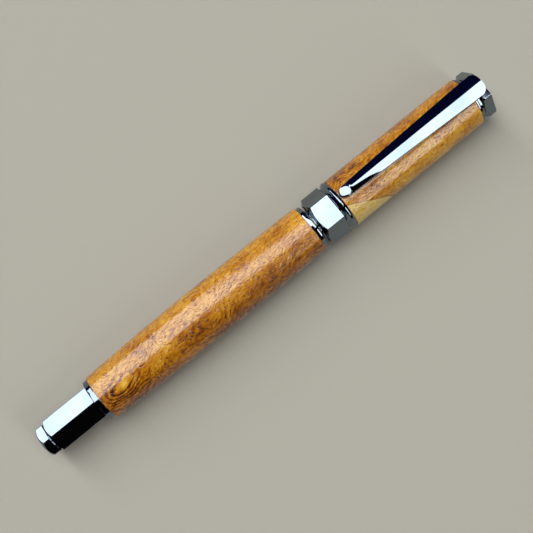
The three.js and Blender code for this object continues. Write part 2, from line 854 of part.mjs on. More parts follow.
// Hexagonal finial on a round neck, chamfered on the lathe towards the clip ring, with the boss that
// the screw pulls on.
function finial() {
  const blindEnd = finialBack + screwGrip + screwHoleSpare;
  const bossBack = clipRingBack + faceGap;
  const hex = solidOf(
    turnedBar(
      [
        [finialCone, finialRadius],
        [penFront - finialEdge, finialRadius],
        [penFront, finialRadius - finialEdge],
      ],
      hexSteps,
    ),
  );
  const cone = solidOf(
    turnedBar([
      [finialCone, finialNeckRadius + finialConeStep],
      [finialHex, finialRadius + latheSpare],
      [penFront, finialRadius + latheSpare],
    ]),
  );
  const neck = turnedBar([
    [bossBack, finialBossRadius],
    [finialBack, finialBossRadius],
    [finialBack, finialNeckRadius],
    [finialCone + 0.5, finialNeckRadius],
  ]);
  const hole = turnedBar(
    [[bossBack - 1, screwRadius + pressGap], [blindEnd, screwRadius + pressGap]],
    innerSteps,
  );
  const solid = hex.intersect(cone).add(solidOf(neck)).subtract(solidOf(hole));
  return part("finial_hex", geometryOf(solid), blackNickel);
}

// ---- The pen -------------------------------------------------------------------------------------

function turnedAboutAxis(degrees, ...meshes) {
  const group = new THREE.Group();
  group.rotation.x = -THREE.MathUtils.degToRad(degrees);
  group.add(...meshes);
  return group;
}

const pen = new THREE.Group();
pen.position.set(-penMiddle, 0, axisHeight);
pen.add(
  barrelWoodSleeve(),
  barrelBrassTube(),
  barrelFrontCoupler(),
  barrelEndCoupler(),
  endPost(),
  postMagnet(),
  postTip(),
  refillSpring(),
  refillTube(),
  refillEndPlug(),
  inkReservoir(),
  refillNose(),
  refillTip(),
  writingBall(),
  sectionCollar(),
  sectionMagnetRing(),
  gripSleeve(),
  centreBandHex(),
  capMagnetRing(),
  capTrimRing(),
  capWoodSleeve(),
  capBrassTube(),
  capInnerLiner(),
  capPlug(),
  capScrew(),
  turnedAboutAxis(clipTurn, clipRing(), clipArm()),
  turnedAboutAxis(finialTurn, finial()),
);

const root = new THREE.Group();
root.add(pen);

export default root;
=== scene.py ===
"""Looks of a capped rollerball pen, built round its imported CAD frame.

The pen lies along X with its finial towards +X and its clip on top. Everything is in metres, in the
frame of the CAD model; MM turns a size in millimetres into metres. A profile is a list of
(x, radius) points, the radius measured from the pen's axis, and a station is a place along X.
"""

import math

import bpy
from bpy.props import FloatProperty, FloatVectorProperty, IntProperty, PointerProperty
from mathutils import Matrix, Vector


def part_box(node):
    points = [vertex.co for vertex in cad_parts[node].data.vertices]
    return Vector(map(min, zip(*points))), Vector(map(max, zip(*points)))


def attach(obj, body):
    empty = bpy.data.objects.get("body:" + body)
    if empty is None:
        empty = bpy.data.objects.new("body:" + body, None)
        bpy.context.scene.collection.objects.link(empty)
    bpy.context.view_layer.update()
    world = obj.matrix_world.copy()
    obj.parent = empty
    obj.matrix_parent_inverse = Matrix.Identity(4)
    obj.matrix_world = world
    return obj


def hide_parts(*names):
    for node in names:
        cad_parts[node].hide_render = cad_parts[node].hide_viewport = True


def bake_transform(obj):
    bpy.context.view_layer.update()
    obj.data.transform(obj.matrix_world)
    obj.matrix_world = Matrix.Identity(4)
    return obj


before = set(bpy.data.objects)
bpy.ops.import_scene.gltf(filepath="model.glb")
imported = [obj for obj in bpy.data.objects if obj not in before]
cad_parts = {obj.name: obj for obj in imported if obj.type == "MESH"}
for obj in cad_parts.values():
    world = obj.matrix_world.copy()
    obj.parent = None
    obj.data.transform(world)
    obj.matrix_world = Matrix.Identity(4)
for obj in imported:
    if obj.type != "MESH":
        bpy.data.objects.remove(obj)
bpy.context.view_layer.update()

bl_info = {
    "name": "Rollerball Pen",
    "version": (1, 0, 0),
    "blender": (4, 5, 0),
    "location": "3D View > Sidebar > Pen",
    "description": "Turned wood rollerball pen with hexagonal black nickel fittings",
    "category": "Object",
}

MM = 0.001
MERGE = 1e-6  # metres
APOTHEM = math.cos(math.pi / 6)  # of a hexagon, as a share of its corner radius

# Sizes that several pieces share.
GAP = 0.05 * MM  # between pieces that fit together, and past what a cut has to clear
REFILL_HOLE = 3.25 * MM
THREAD_ROOT = 3.75 * MM
THREAD_DEPTH = 0.4 * MM
THREAD_HOLE = 4.27 * MM  # to the bottom of the inner thread

# ---- Places and radii, from the frame ------------------------------------------------------------


def axis_point():
    low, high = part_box("barrel_brass_tube")
    return Vector((0, 0, (low.z + high.z) / 2))


AXIS = axis_point()


def span(node):
    """First and last station of a CAD node."""
    low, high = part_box(node)
    return low.x, high.x


def outline(node):
    """Outer radius of a turned CAD node at each of its stations, as a profile."""
    outer = {}
    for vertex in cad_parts[node].data.vertices:
        arm = (vertex.co - AXIS) * Vector((0, 1, 1))
        if arm.dot(vertex.normal) > 0.05 * arm.length:
            station = round(vertex.co.x, 7)
            outer[station] = max(outer.get(station, 0), arm.length)
    return sorted(outer.items())


def bore(node):
    """Least distance of a CAD node's corners from the axis."""
    return min(math.hypot(v.co.y, v.co.z - AXIS.z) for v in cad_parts[node].data.vertices)


def finer(profile, parts):
    """The same profile with every stretch divided, along a curve through its points."""
    ends = [profile[0], *profile, profile[-1]]
    fine = []
    for (_, r0), (x1, r1), (x2, r2), (_, r3) in zip(ends, ends[1:], ends[2:], ends[3:]):
        for i in range(parts):
            t = i / parts
            bend = (3 * (r1 - r2) + r3 - r0) * t + 2 * r0 - 5 * r1 + 4 * r2 - r3
            fine.append((x1 + (x2 - x1) * t, r1 + t / 2 * (r2 - r0 + t * bend)))
    return [*fine, profile[-1]]


# ---- Colours and nodes ---------------------------------------------------------------------------


def linear(colour):
    """sRGB hex to linear RGBA."""
    channels = [int(colour[i : i + 2], 16) / 255 for i in (1, 3, 5)]
    return (*(c / 12.92 if c <= 0.04045 else ((c + 0.055) / 1.055) ** 2.4 for c in channels), 1.0)


def socket_of(sockets, key):
    """A socket by its place, or the one in use by its name."""
    if isinstance(key, int):
        return sockets[key]
    return next(s for s in sockets if s.name == key and s.enabled)


def feed(tree, node, inputs):
    """Fills a node's inputs.

    Each takes a value, a socket, a node whose first output in use it reads, or (node, output).
    """
    for key, value in inputs.items():
        socket = socket_of(node.inputs, key)
        if isinstance(value, bpy.types.Node):
            value = next(s for s in value.outputs if s.enabled)
        elif isinstance(value, tuple) and isinstance(value[0], bpy.types.Node):
            value = socket_of(value[0].outputs, value[1])
        if isinstance(value, bpy.types.NodeSocket):
            tree.links.new(value, socket)
        else:
            socket.default_value = value


def add_node(tree, kind, inputs=None, stops=None, **settings):
    """Adds a node with its settings, ramp stops and inputs."""
    node = tree.nodes.new(kind)
    for name, value in settings.items():
        setattr(node, name, value)
    if stops:
        while len(node.color_ramp.elements) < len(stops):
            node.color_ramp.elements.new(0.5)
        for element, (position, colour) in zip(node.color_ramp.elements, stops):
            element.position = position
            element.color = linear(colour) if isinstance(colour, str) else (colour, colour, colour, 1)
    feed(tree, node, inputs or {})
    return node


def bare_material(name, shader_values=None):
    """A material with a Principled shader, and object coordinates in millimetres from the axis."""
    material = bpy.data.materials.new(name)
    material.use_nodes = True
    tree = material.node_tree
    tree.nodes.clear()
    shader = add_node(tree, "ShaderNodeBsdfPrincipled", shader_values)
    add_node(tree, "ShaderNodeOutputMaterial", {"Surface": shader})
    place = add_node(
        tree,
        "ShaderNodeMapping",
        {
            "Vector": (add_node(tree, "ShaderNodeTexCoord"), "Object"),
            "Location": (0, 0, -AXIS.z / MM),
            "Scale": (1 / MM, 1 / MM, 1 / MM),
        },
    )
    return material, tree, shader, place


# ---- Materials -----------------------------------------------------------------------------------


def figured_hardwood(name, knot, sapwood, tone_shift, painted_side_shade):
    """Figured tropical hardwood, turned, sanded and oiled to a satin gloss.

    Growth rings swirl round a knot, curl ripples across the grain, and open pores make short dark
    flecks. The finish is a thin clear coat over it, so a window shows as a soft cream band.
    The knot is (x, y, z) in millimetres and the rings that it lifts; a greater sapwood value takes
    the sapwood's edge further towards the finial. The side value paints shade: the wood gets darker
    away from +Y by it for each millimetre, and a negative one paints that side lighter instead.
    Pale specks in the burly patches are painted glints of the lights in open pores.
    """
    material, tree, shader, place = bare_material(
        name,
        {"Coat Weight": 1.0, "Coat Roughness": 0.13, "Coat IOR": 1.55, "Specular IOR Level": 0.05},
    )

    # The grain wanders a few millimetres from straight.
    wander = add_node(tree, "ShaderNodeTexNoise", {"Vector": place, "Scale": 0.06, "Detail": 2.0})
    shift = add_node(
        tree,
        "ShaderNodeVectorMath",
        {0: (wander, "Color"), 1: (6.0, 13.0, 13.0), 2: (-3.0, -6.5, -6.5)},
        operation="MULTIPLY_ADD",
    )
    grain = add_node(tree, "ShaderNodeVectorMath", {0: place, 1: shift}, operation="ADD")

    # The knot fades out over an egg shape with these half sizes.
    x, y, z, lift = knot
    length, width = 6.5, 4.0
    from_knot = add_node(
        tree,
        "ShaderNodeMapping",
        {
            "Vector": place,
            "Location": (-x / length, -y / width, -z / width),
            "Scale": (1 / length, 1 / width, 1 / width),
        },
    )
    distance = add_node(tree, "ShaderNodeVectorMath", {0: from_knot}, operation="LENGTH")
    squared = add_node(tree, "ShaderNodeMath", {0: (distance, "Value"), 1: 2.0}, operation="POWER")
    inverted = add_node(tree, "ShaderNodeMath", {0: squared, 1: -1.0}, operation="MULTIPLY")
    swirl = add_node(tree, "ShaderNodeMath", {0: inverted}, operation="EXPONENT")

    # Growth rings round a pith outside the pen, lifted over the knot and wavering.
    ring_width = 1.7
    across = add_node(
        tree,
        "ShaderNodeMapping",
        {"Vector": grain, "Location": (0.0, 9.0, 16.0), "Scale": (0.06, 1.0, 1.0)},
    )
    from_pith = add_node(tree, "ShaderNodeVectorMath", {0: across}, operation="LENGTH")
    lifted = add_node(tree, "ShaderNodeMath", {0: swirl, 1: lift}, operation="MULTIPLY")
    level = add_node(
        tree,
        "ShaderNodeMath",
        {0: (from_pith, "Value"), 1: 1 / ring_width, 2: lifted},
        operation="MULTIPLY_ADD",
    )
    waver = add_node(tree, "ShaderNodeTexNoise", {"Vector": place, "Scale": 0.2, "Detail": 0.0})
    wavering = add_node(
        tree, "ShaderNodeMath", {0: waver, 1: 3.0, 2: level}, operation="MULTIPLY_ADD"
    )
    late_wood = add_node(
        tree,
        "ShaderNodeValToRGB",
        {"Fac": add_node(tree, "ShaderNodeMath", {0: wavering}, operation="FRACT")},
        stops=[(0.0, 0.35), (0.45, 0.0), (0.8, 0.55), (0.93, 1.0), (1.0, 0.4)],
    )
    patches = add_node(tree, "ShaderNodeTexNoise", {"Vector": place, "Scale": 0.11, "Detail": 1.0})
    with_knot = add_node(
        tree, "ShaderNodeMath", {0: swirl, 1: 0.6, 2: patches}, operation="MULTIPLY_ADD"
    )
    where_dark = add_node(
        tree, "ShaderNodeValToRGB", {"Fac": with_knot}, stops=[(0.55, 0.05), (0.95, 1.0)]
    )
    rings = add_node(tree, "ShaderNodeMath", {0: late_wood, 1: where_dark}, operation="MULTIPLY")

    # Curl: ripples about 1 mm wide that cross the grain at a slant.
    slanted = add_node(
        tree,
        "ShaderNodeMapping",
        {"Vector": grain, "Rotation": (0.0, 0.0, math.radians(34)), "Scale": (2.6, 1.0, 1.0)},
        vector_type="TEXTURE",
    )
    curl = add_node(
        tree,
        "ShaderNodeTexNoise",
        {"Vector": slanted, "Scale": 1.3, "Detail": 3.0, "Distortion": 0.5},
    )
    # Fibres and pores, drawn 0.3 mm wide, which is as fine as shows.
    along = add_node(tree, "ShaderNodeMapping", {"Vector": grain, "Scale": (0.22, 1.0, 1.0)})
    fibres = add_node(tree, "ShaderNodeTexNoise", {"Vector": along, "Scale": 2.6, "Detail": 2.0})
    flecks = add_node(tree, "ShaderNodeTexNoise", {"Vector": along, "Scale": 3.4, "Detail": 0.0})
    pores = add_node(tree, "ShaderNodeValToRGB", {"Fac": flecks}, stops=[(0.60, 0.0), (0.70, 1.0)])
    broad = add_node(tree, "ShaderNodeTexNoise", {"Vector": place, "Scale": 0.16, "Detail": 1.0})
    # Pale specks in the burly patches, 0.7 mm apart: painted glints of the lights in open pores.
    cells = add_node(tree, "ShaderNodeTexVoronoi", {"Vector": grain, "Scale": 1.5})
    painted_pore_glints = add_node(
        tree, "ShaderNodeValToRGB", {"Fac": (cells, "Distance")}, stops=[(0.1, 1.0), (0.35, 0.0)]
    )
    burl = add_node(tree, "ShaderNodeValToRGB", {"Fac": broad}, stops=[(0.42, 0.0), (0.55, 1.0)])

    painted_glints_in_burl = add_node(tree, "ShaderNodeMath", {0: painted_pore_glints, 1: burl}, operation="MULTIPLY")
    eye = add_node(tree, "ShaderNodeMath", {0: swirl, 1: 12.0}, operation="POWER")
    # Painted shade by side: the tone changes with Y, up to 1.5 mm towards +Y, so the side turned from the
    # lights comes out darker.
    sideways = add_node(tree, "ShaderNodeSeparateXYZ", {"Vector": place})
    side = add_node(tree, "ShaderNodeMath", {0: (sideways, "Y"), 1: 1.5}, operation="MINIMUM")

    # All of it adds up to one tone, from dark to light.
    tone = tone_shift
    for figure, weight in (
        (broad, 0.45),
        (curl, 0.75),
        (eye, 0.3),
        (side, painted_side_shade),
        (fibres, 0.35),
        (rings, -0.55),
        (pores, -0.20),
        (painted_glints_in_burl, 0.2),
    ):
        tone = add_node(
            tree, "ShaderNodeMath", {0: figure, 1: weight, 2: tone}, operation="MULTIPLY_ADD"
        )
    heartwood = add_node(
        tree,
        "ShaderNodeValToRGB",
        {"Fac": tone},
        stops=[
            (0.0, "#2b0f02"),
            (0.2, "#5f2c05"),
            (0.4, "#9a5808"),
            (0.52, "#b3720f"),
            (0.7, "#cc8f22"),
            (1.0, "#e4b750"),
        ],
    )

    # A tongue of pale sapwood, with a thin dark line where the heartwood starts.
    slope = add_node(
        tree,
        "ShaderNodeVectorMath",
        {0: place, 1: (-0.062, -1 / 6, 0.0)},
        operation="DOT_PRODUCT",
    )
    depth = add_node(tree, "ShaderNodeMath", {0: (slope, "Value"), 1: sapwood}, operation="ADD")
    edge = add_node(tree, "ShaderNodeMath", {0: wander, 1: 0.5, 2: depth}, operation="MULTIPLY_ADD")
    in_sapwood = add_node(tree, "ShaderNodeValToRGB", {"Fac": edge}, stops=[(0.50, 0.0), (0.53, 1.0)])
    sap_tone = add_node(
        tree,
        "ShaderNodeValToRGB",
        {"Fac": tone},
        stops=[(0.0, "#8a6220"), (0.5, "#cda349"), (1.0, "#e9cd8a")],
    )
    line = add_node(
        tree, "ShaderNodeValToRGB", {"Fac": edge}, stops=[(0.47, 0.0), (0.50, 0.8), (0.53, 0.0)]
    )
    wood = add_node(
        tree,
        "ShaderNodeMix",
        {"Factor": in_sapwood, "A": heartwood, "B": sap_tone},
        data_type="RGBA",
    )
    lined = add_node(
        tree,
        "ShaderNodeMix",
        {"Factor": line, "A": wood, "B": linear("#4a2206")},
        data_type="RGBA",
    )
    # The pores stay a little open under the finish, and the curl stands a few microns proud.
    proud = add_node(tree, "ShaderNodeMath", {0: curl, 1: 1.2}, operation="MULTIPLY")
    relief = add_node(tree, "ShaderNodeMath", {0: pores, 1: -0.8, 2: proud}, operation="MULTIPLY_ADD")
    bump = add_node(
        tree, "ShaderNodeBump", {"Height": relief, "Distance": 0.035 * MM, "Strength": 1.0}
    )
    dull = add_node(tree, "ShaderNodeMapRange", {"Value": tone, "To Min": 0.5, "To Max": 0.36})
    feed(
        tree,
        shader,
        {"Base Color": lined, "Normal": bump, "Coat Normal": bump, "Roughness": dull},
    )
    return material


def plated_metal(name, dark, light, roughness, polish):
    """Plated or bare metal, polished: two close tones drift over it, and its polish is uneven.

    The roughness runs between the two values given. Polish marks, in millimetres, are drawn coarse
    enough to show at all.
    """
    material, tree, shader, place = bare_material(name, {"Metallic": 1.0})
    drift = add_node(tree, "ShaderNodeTexNoise", {"Vector": place, "Scale": 0.12, "Detail": 2.0})
    tone = add_node(tree, "ShaderNodeValToRGB", {"Fac": drift}, stops=[(0.35, dark), (0.65, light)])
    marks = add_node(tree, "ShaderNodeTexNoise", {"Vector": place, "Scale": 1 / polish, "Detail": 3.0})
    rough = add_node(
        tree, "ShaderNodeMapRange", {"Value": marks, "To Min": roughness[0], "To Max": roughness[1]}
    )
    bump = add_node(
        tree, "ShaderNodeBump", {"Height": marks, "Distance": 0.0004 * MM, "Strength": 0.5}
    )
    feed(tree, shader, {"Base Color": tone, "Roughness": rough, "Normal": bump})
    return material


def moulded_plastic(name, dark, light, roughness):
    """Injection-moulded plastic: an even colour with a faint flow pattern and a fine mould texture."""
    material, tree, shader, place = bare_material(name)
    flow = add_node(tree, "ShaderNodeTexNoise", {"Vector": place, "Scale": 0.3, "Detail": 1.0})
    tone = add_node(tree, "ShaderNodeValToRGB", {"Fac": flow}, stops=[(0.3, dark), (0.7, light)])
    skin = add_node(tree, "ShaderNodeTexNoise", {"Vector": place, "Scale": 5.0, "Detail": 2.0})
    rough = add_node(
        tree, "ShaderNodeMapRange", {"Value": skin, "To Min": roughness[0], "To Max": roughness[1]}
    )
    bump = add_node(tree, "ShaderNodeBump", {"Height": skin, "Distance": 0.004 * MM, "Strength": 0.5})
    feed(tree, shader, {"Base Color": tone, "Roughness": rough, "Normal": bump})
    return material


def ink_soaked_fibre():
    """Bonded polyester fibre, soaked in blue ink: dark, matt, with the fibres lying along the pen."""
    material, tree, shader, place = bare_material("ink_soaked_polyester_fibre")
    lengthwise = add_node(tree, "ShaderNodeMapping", {"Vector": place, "Scale": (0.1, 1.0, 1.0)})
    fibres = add_node(tree, "ShaderNodeTexNoise", {"Vector": lengthwise, "Scale": 4.0, "Detail": 3.0})
    tone = add_node(
        tree, "ShaderNodeValToRGB", {"Fac": fibres}, stops=[(0.35, "#0a1233"), (0.7, "#2a3c86")]
    )
    bump = add_node(tree, "ShaderNodeBump", {"Height": fibres, "Distance": 0.05 * MM, "Strength": 0.8})
    rough = add_node(tree, "ShaderNodeMapRange", {"Value": fibres, "To Min": 0.7, "To Max": 0.95})
    feed(tree, shader, {"Base Color": tone, "Roughness": rough, "Normal": bump})
    return material


# For each slot: name, two close colours, roughness from and to, and the width of its polish marks in
# millimetres.
METALS = {
    # Nickel plate with a black chromium topcoat: a dark, slightly blue mirror.
    "black_nickel": ("black_nickel_plate", "#6e7780", "#78818a", (0.025, 0.05), 2.5),
    # Drawn brass tube: warm yellow, satin from the die.
    "tube_brass": ("drawn_brass", "#b98f45", "#cda457", (0.22, 0.38), 0.8),
    # Bright nickel on a sintered magnet: pale, a little soft from the grain under it.
    "magnet_nickel": ("bright_nickel_plate", "#b4b5b4", "#c9cac8", (0.12, 0.22), 0.7),
    # Spring wire, left bare: grey, satin from the die.
    "spring_steel": ("drawn_spring_wire", "#8f9398", "#a9adb2", (0.2, 0.34), 0.5),
    # Stainless steel, turned and barrel polished: pale, with soft highlights.
    "refill_steel": ("stainless_steel", "#a8abae", "#c0c3c6", (0.14, 0.26), 0.9),
    # Lapped tungsten carbide: a dark grey with a fine gloss.
    "tungsten_carbide": ("tungsten_carbide", "#77797d", "#8b8d91", (0.06, 0.12), 0.1),
}
# For each slot: name, two close colours, and roughness from and to.
PLASTICS = {
    # Polypropylene, coloured through: nearly black, and a warm white, both with a soft sheen.
    "black_plastic": ("black_polypropylene", "#111214", "#1a1b1e", (0.34, 0.5)),
    "white_plastic": ("white_polypropylene", "#d9d6cc", "#e8e5dc", (0.38, 0.52)),
}
finishes = {}


def finish_named(slot):
    """The material for one of the record's slots, made when it is first asked for."""
    if slot not in finishes:
        if slot in METALS:
            finishes[slot] = plated_metal(*METALS[slot])
        elif slot in PLASTICS:
            finishes[slot] = moulded_plastic(*PLASTICS[slot])
        else:
            finishes[slot] = ink_soaked_fibre()
    return finishes[slot]


# ---- Modelling -----------------------------------------------------------------------------------


def deselect_all():
    if bpy.context.mode != "OBJECT":
        bpy.ops.object.mode_set(mode="OBJECT")
    bpy.ops.object.select_all(action="DESELECT")


def activate(obj):
    deselect_all()
    obj.select_set(True)
    bpy.context.view_layer.objects.active = obj


def named(name):
    """The primitive that was just added, under its name."""
    obj = bpy.context.object
    obj.name = obj.data.name = name
    return obj


def modify(obj, kind, **settings):
    """Adds a modifier and applies it."""
    activate(obj)
    bpy.ops.object.modifier_add(type=kind)
    modifier = obj.modifiers[-1]
    for name, value in settings.items():
        setattr(modifier, name, value)
    bpy.ops.object.modifier_apply(modifier=modifier.name)
    return obj


def settle(obj):
    """Puts the object at the origin, unturned, with its place in its mesh."""
    activate(obj)
    bpy.ops.object.transform_apply(location=True, rotation=True, scale=True)
    return obj


def combine(obj, tool, operation):
    """Adds, cuts or keeps what is shared with a tool, which is used up."""
    modify(obj, "BOOLEAN", object=tool, operation=operation, solver="EXACT")
    bpy.data.objects.remove(tool)
    return obj


def clean(obj):
    """Merges doubles and turns the faces outwards."""
    activate(obj)
    bpy.ops.object.mode_set(mode="EDIT")
    bpy.ops.mesh.select_all(action="SELECT")
    bpy.ops.mesh.remove_doubles(threshold=MERGE)
    bpy.ops.mesh.normals_make_consistent(inside=False)
    bpy.ops.object.mode_set(mode="OBJECT")
    return obj


def soften(obj, width, least_angle=30, segments=3):
    """Rounds the edges that turn by more than an angle, in degrees."""
    return modify(
        obj,
        "BEVEL",
        width=width,
        segments=segments,
        limit_method="ANGLE",
        angle_limit=math.radians(least_angle),
        use_clamp_overlap=True,
    )


def shade(obj, angle=28):
    """Smooth shading, with flats that stay flat."""
    activate(obj)
    bpy.ops.object.shade_smooth_by_angle(angle=math.radians(angle))
    return modify(obj, "WEIGHTED_NORMAL", keep_sharp=True, weight=100)


def bevel_edges(obj, chosen, width, segments):
    """Rounds the edges whose two ends pass a test of their places."""
    activate(obj)
    bpy.ops.object.mode_set(mode="EDIT")
    bpy.ops.mesh.select_all(action="DESELECT")
    bpy.ops.mesh.select_mode(type="EDGE")
    bpy.ops.object.mode_set(mode="OBJECT")
    vertices = obj.data.vertices
    for edge in obj.data.edges:
        edge.select = chosen(*(vertices[i].co for i in edge.vertices))
    bpy.ops.object.mode_set(mode="EDIT")
    bpy.ops.mesh.bevel(offset=width, segments=segments, affect="EDGES")
    bpy.ops.mesh.select_mode(type="VERT")
    bpy.ops.object.mode_set(mode="OBJECT")
    return obj


def round_corners(obj, station, radius):
    """Rounds the two upright corners of a piece at its end, as seen from above."""
    return bevel_edges(
        obj,
        lambda a, b: max(abs(a.x - station), abs(b.x - station)) < MERGE
        and abs(a.y - b.y) < MERGE
        and abs(a.y) > MERGE,
        radius,
        10,
    )


def line_of(name, points):
    """A line of edges, drawn from one vertex through points and left in edit mode."""
    deselect_all()
    bpy.ops.mesh.primitive_plane_add(size=MM, location=points[0])
    obj = named(name)
    bpy.ops.object.mode_set(mode="EDIT")
    bpy.ops.mesh.merge(type="CENTER")
    for here, there in zip(points, points[1:]):
        bpy.ops.mesh.extrude_vertices_move(TRANSFORM_OT_translate={"value": there - here})
    bpy.ops.mesh.select_all(action="SELECT")
    bpy.ops.mesh.remove_doubles(threshold=MERGE)
    return obj


def face_of(name, points):
    """One face with the given corners, left selected in edit mode."""
    obj = line_of(name, [*points, points[0]])
    bpy.ops.mesh.edge_face_add()
    return obj


def turned(name, profile, edge=0.0):
    """A solid or shell turned on the axis, from a profile that ends on it or where it started."""
    obj = line_of(name, [AXIS + Vector((x, 0, radius)) for x, radius in profile])
    steps = bpy.context.scene.pen_lathe.steps
    bpy.ops.mesh.spin(steps=steps, angle=2 * math.pi, center=AXIS, axis=(1, 0, 0))
    clean(obj)
    if edge:
        soften(obj, edge)
    return settle(obj)


def bar(*profile):
    """A profile closed on the axis at both ends."""
    return [(profile[0][0], 0), *profile, (profile[-1][0], 0)]


def shell(outer, inner):
    """A closed profile: outer points from back to front, inner ones from front to back."""
    return [*outer, *inner, outer[0]]


def tube(name, node, edge):
    """A plain tube of a CAD node's size."""
    back, front = span(node)
    outer, inner = outline(node)[0][1], bore(node)
    return turned(name, shell([(back, outer), (front, outer)], [(front, inner), (back, inner)]), edge)


def drill(obj, radius, start, end):
    """Cuts a round hole on the axis between two stations."""
    return combine(obj, turned("hole", bar((start, radius), (end, radius))), "DIFFERENCE")


def hexagonal_bar(name, start, end, radius, roll, envelope):
    """A hexagonal bar, turned down to the profile of an envelope.

    Its long edges are rounded, and it has a flat on top before it's rolled by some degrees.
    """
    deselect_all()
    turn = Matrix.Rotation(math.pi / 2, 3, "Y") @ Matrix.Rotation(math.radians(roll), 3, "Z")
    bpy.ops.mesh.primitive_cylinder_add(
        vertices=6,
        radius=radius,
        depth=end - start,
        location=AXIS + Vector(((start + end) / 2, 0, 0)),
        rotation=turn.to_euler(),
    )
    obj = settle(named(name))
    edge = bpy.context.scene.pen_lathe.hex_edge
    bevel_edges(obj, lambda a, b: abs(a.x - b.x) > edge, edge, 3)
    return combine(obj, turned("envelope", bar(*envelope)), "INTERSECT")


def block(name, low, high):
    """A box between two corners, which are measured from the axis."""
    deselect_all()
    low, high = Vector(low) + AXIS, Vector(high) + AXIS
    bpy.ops.mesh.primitive_cube_add(size=1, location=(low + high) / 2, scale=high - low)
    return settle(named(name))


def threaded_rod(name, start, end, root, joint):
    """A rod with a right-hand rounded thread, in step with the CAD thread that starts at the joint."""
    lathe = bpy.context.scene.pen_lathe
    pitch, rows = lathe.pitch, 8
    profile = []
    for i in range(rows + 1):
        x = math.floor((start - joint) / pitch - 1) * pitch + joint + pitch * i / rows
        wave = 0.5 + 0.5 * math.cos(2 * math.pi * (x - joint) / pitch - math.pi / 2)
        profile.append((x, root + THREAD_DEPTH * wave))
    obj = line_of(name, [AXIS + Vector((x, 0, radius)) for x, radius in profile])
    bpy.ops.object.mode_set(mode="OBJECT")
    settle(obj)
    bpy.context.scene.cursor.location = AXIS
    bpy.ops.object.origin_set(type="ORIGIN_CURSOR")
    modify(
        obj,
        "SCREW",
        axis="X",
        angle=2 * math.pi,
        screw_offset=pitch,
        steps=lathe.steps // 2,
        iterations=math.ceil((end - start) / pitch) + 3,
        use_merge_vertices=True,
        merge_threshold=MERGE,
    )
    settle(obj)
    for station, keeps in ((start, 1), (end, -1)):
        bpy.ops.object.mode_set(mode="EDIT")
        bpy.ops.mesh.select_all(action="SELECT")
        bpy.ops.mesh.bisect(
            plane_co=(station, 0, 0),
            plane_no=(-keeps, 0, 0),
            use_fill=True,
            clear_outer=True,
            threshold=MERGE / 10,
        )
        bpy.ops.object.mode_set(mode="OBJECT")
    return clean(obj)


def place_piece(obj, body, slot, *nodes, finish=None):
    """Gives a finished piece its shading, finish and body, and hides the CAD nodes that it stands for."""
    shade(obj)
    obj.data.materials.clear()
    obj.data.materials.append(finish or finish_named(slot))
    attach(obj, body)
    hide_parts(*nodes)
    return obj


# ---- What a user can change ----------------------------------------------------------------------


class PenLatheSettings(bpy.types.PropertyGroup):
    """How finely the turned pieces are made, and the small edges that the lathe leaves."""

    steps: IntProperty(name="Steps", description="Facets round a turned piece", default=128, min=24)
    edge: FloatProperty(
        name="Edge",
        description="Rounding of the sharp edges of turned pieces",
        default=0.06 * MM,
        unit="LENGTH",
    )
    hex_edge: FloatProperty(
        name="Hexagon Edge",
        description="Rounding of the long edges of the hexagonal pieces",
        default=0.12 * MM,
        unit="LENGTH",
    )
    pitch: FloatProperty(
        name="Thread Pitch", description="Rise of the thread in one turn", default=1.0 * MM, unit="LENGTH"
    )


class PenClipSettings(bpy.types.PropertyGroup):
    """Sizes of the clip."""

    root_width: FloatProperty(
        name="Root Width", description="Width at the finial", default=6.3 * MM, unit="LENGTH"
    )
    tip_width: FloatProperty(
        name="Tip Width", description="Width at the tip", default=3.2 * MM, unit="LENGTH"
    )
    thickness: FloatProperty(
        name="Thickness", description="From the underside to the crest", default=1.35 * MM, unit="LENGTH"
    )
    ridge: FloatProperty(
        name="Ridge", description="Rise of the crest above the long edges", default=0.6 * MM, unit="LENGTH"
    )
    turn: FloatProperty(
        name="Turn",
        description="How far the clip is turned about the pen's axis",
        default=math.radians(8),
        subtype="ANGLE",
    )


class PenFinialSettings(bpy.types.PropertyGroup):
    """Sizes of the finial."""

    neck: FloatProperty(
        name="Neck Radius", description="Of its turned neck", default=5.9 * MM, unit="LENGTH"
    )
    turn: FloatProperty(
        name="Turn",
        description="How far the finial is turned about the pen's axis",
        default=math.radians(5),
        subtype="ANGLE",
    )


class PenSpringSettings(bpy.types.PropertyGroup):
    """Sizes of the refill's spring."""

    wire: FloatProperty(
        name="Wire", description="Thickness of the wire", default=0.44 * MM, unit="LENGTH"
    )
    coils: IntProperty(name="Coils", description="Turns of the spring", default=6, min=2)


class PenStageSettings(bpy.types.PropertyGroup):
    """The floor and the lights."""

    floor: FloatVectorProperty(
        name="Floor",
        description="Colour of the floor",
        subtype="COLOR",
        size=3,
        default=linear("#a29b8e")[:3],
    )
    radiance: FloatProperty(name="Light", description="Brightness of the lights", default=5.2)


# ---- The stage -----------------------------------------------------------------------------------


